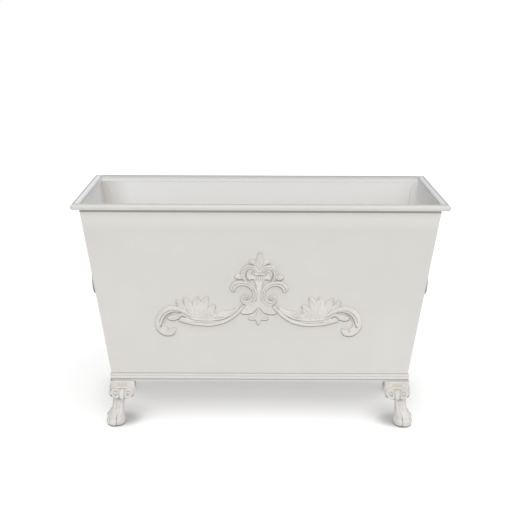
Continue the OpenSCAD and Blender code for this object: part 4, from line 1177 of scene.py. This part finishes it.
def layFloor():  # matt and pale, with a glow that fades into painted shadow under the body and round the front paws
    mesh = bpy.data.meshes.new("studioFloor")
    wide, far = (size / 2 for size in studio["floor"])
    mesh.from_pydata([(-wide, -far, 0), (wide, -far, 0), (wide, far, 0), (-wide, far, 0)], [], [(0, 1, 2, 3)])
    floor = bpy.data.objects.new("studioFloor", mesh)
    bpy.context.scene.collection.objects.link(floor)
    finish = Finish("pale studio floor", {"Roughness": 0.9, "Specular IOR Level": 0.1, "Emission Strength": 1.0})
    finish.feed("Base Color", finish.blend(finish.noise(3), "floor", "floorPale"))
    aside, deep = (axis * mm for axis in finish.spot()[:2])
    near = [abs(axis) for axis in (aside, deep)]
    away = distance(*((axis - half).larger(0.0) for axis, half in zip(near, studio["footprint"])))
    under, clear = studio["glow"]
    glow = finish.fade(deep, *studio["glowDepth"], under, clear)
    glow = glow + (clear - glow) * finish.fade(away, 0.0, studio["spread"])
    # painted shadow pools round the front paws
    for (x, y), inner, outer, depth in studio["shadowPools"]:
        shadowPool = finish.fade(distance(near[0] - x, deep - y), inner, outer, 1.0, 0.0)
        glow = glow * (1.0 - shadowPool * depth * finish.fade(near[0], *studio["shadowPoolSide"]))
    grey = finish.node("ShaderNodeCombineColor", {}, {"Red": glow, "Green": glow, "Blue": glow})
    finish.feed("Emission Color", grey)
    mesh.materials.append(finish.material)


def hangLight(name):
    setting = studio[name]
    light = bpy.data.lights.new(name + "Light", "AREA")
    light.shape = "DISK"
    light.size = setting["size"]
    light.energy = setting["power"]
    lamp = bpy.data.objects.new(name + "Light", light)
    lamp.location = setting["place"]
    aim = Vector(setting["target"]) - lamp.location
    lamp.rotation_euler = aim.to_track_quat("-Z", "Y").to_euler()
    bpy.context.scene.collection.objects.link(lamp)


def lightSky():  # a soft dome, brightest in front and above, and plain white behind the object
    world = bpy.data.worlds.new("paleStudio")
    bpy.context.scene.world = world
    world.use_nodes = True
    sky = Bench(world.node_tree)
    facing = sky.node("ShaderNodeVectorMath", {"operation": "DOT_PRODUCT"}, {
        0: sky.node("ShaderNodeTexCoord", output="Generated"), 1: Vector(studio["from"]).normalized()}, "Value")
    strength = facing.larger(0.0) ** studio["focus"] * studio["front"] + studio["ambient"]
    dome = sky.tree.nodes["Background"]
    dome.inputs["Color"].default_value = (1, 1, 1, 1)
    sky.tree.links.new(strength.socket, dome.inputs["Strength"])
    backdrop = sky.node("ShaderNodeBackground", {}, {"Color": (1, 1, 1, 1)})
    seen = sky.node("ShaderNodeLightPath", output="Is Camera Ray")
    shown = sky.node("ShaderNodeMixShader", {}, {0: seen, 1: Wire(sky, dome.outputs[0]), 2: backdrop})
    sky.tree.links.new(shown.socket, sky.tree.nodes["World Output"].inputs["Surface"])


def setCamera():
    camera = bpy.data.cameras.new("photoCamera")
    camera.lens = studio["focal"]
    camera.sensor_width = studio["sensor"]
    eye = bpy.data.objects.new("photoCamera", camera)
    eye.matrix_world = (Matrix.Translation(Vector(studio["cameraPlace"]) * mm)
                        @ Matrix.Rotation(math.radians(90 - studio["pitch"]), 4, "X")
                        @ Matrix.Rotation(math.radians(studio["roll"]), 4, "Z"))
    bpy.context.scene.collection.objects.link(eye)
    bpy.context.scene.camera = eye


layFloor()
hangLight("key")
lightSky()
setCamera()
bpy.context.scene.view_settings.view_transform = "Standard"
print("stage set")
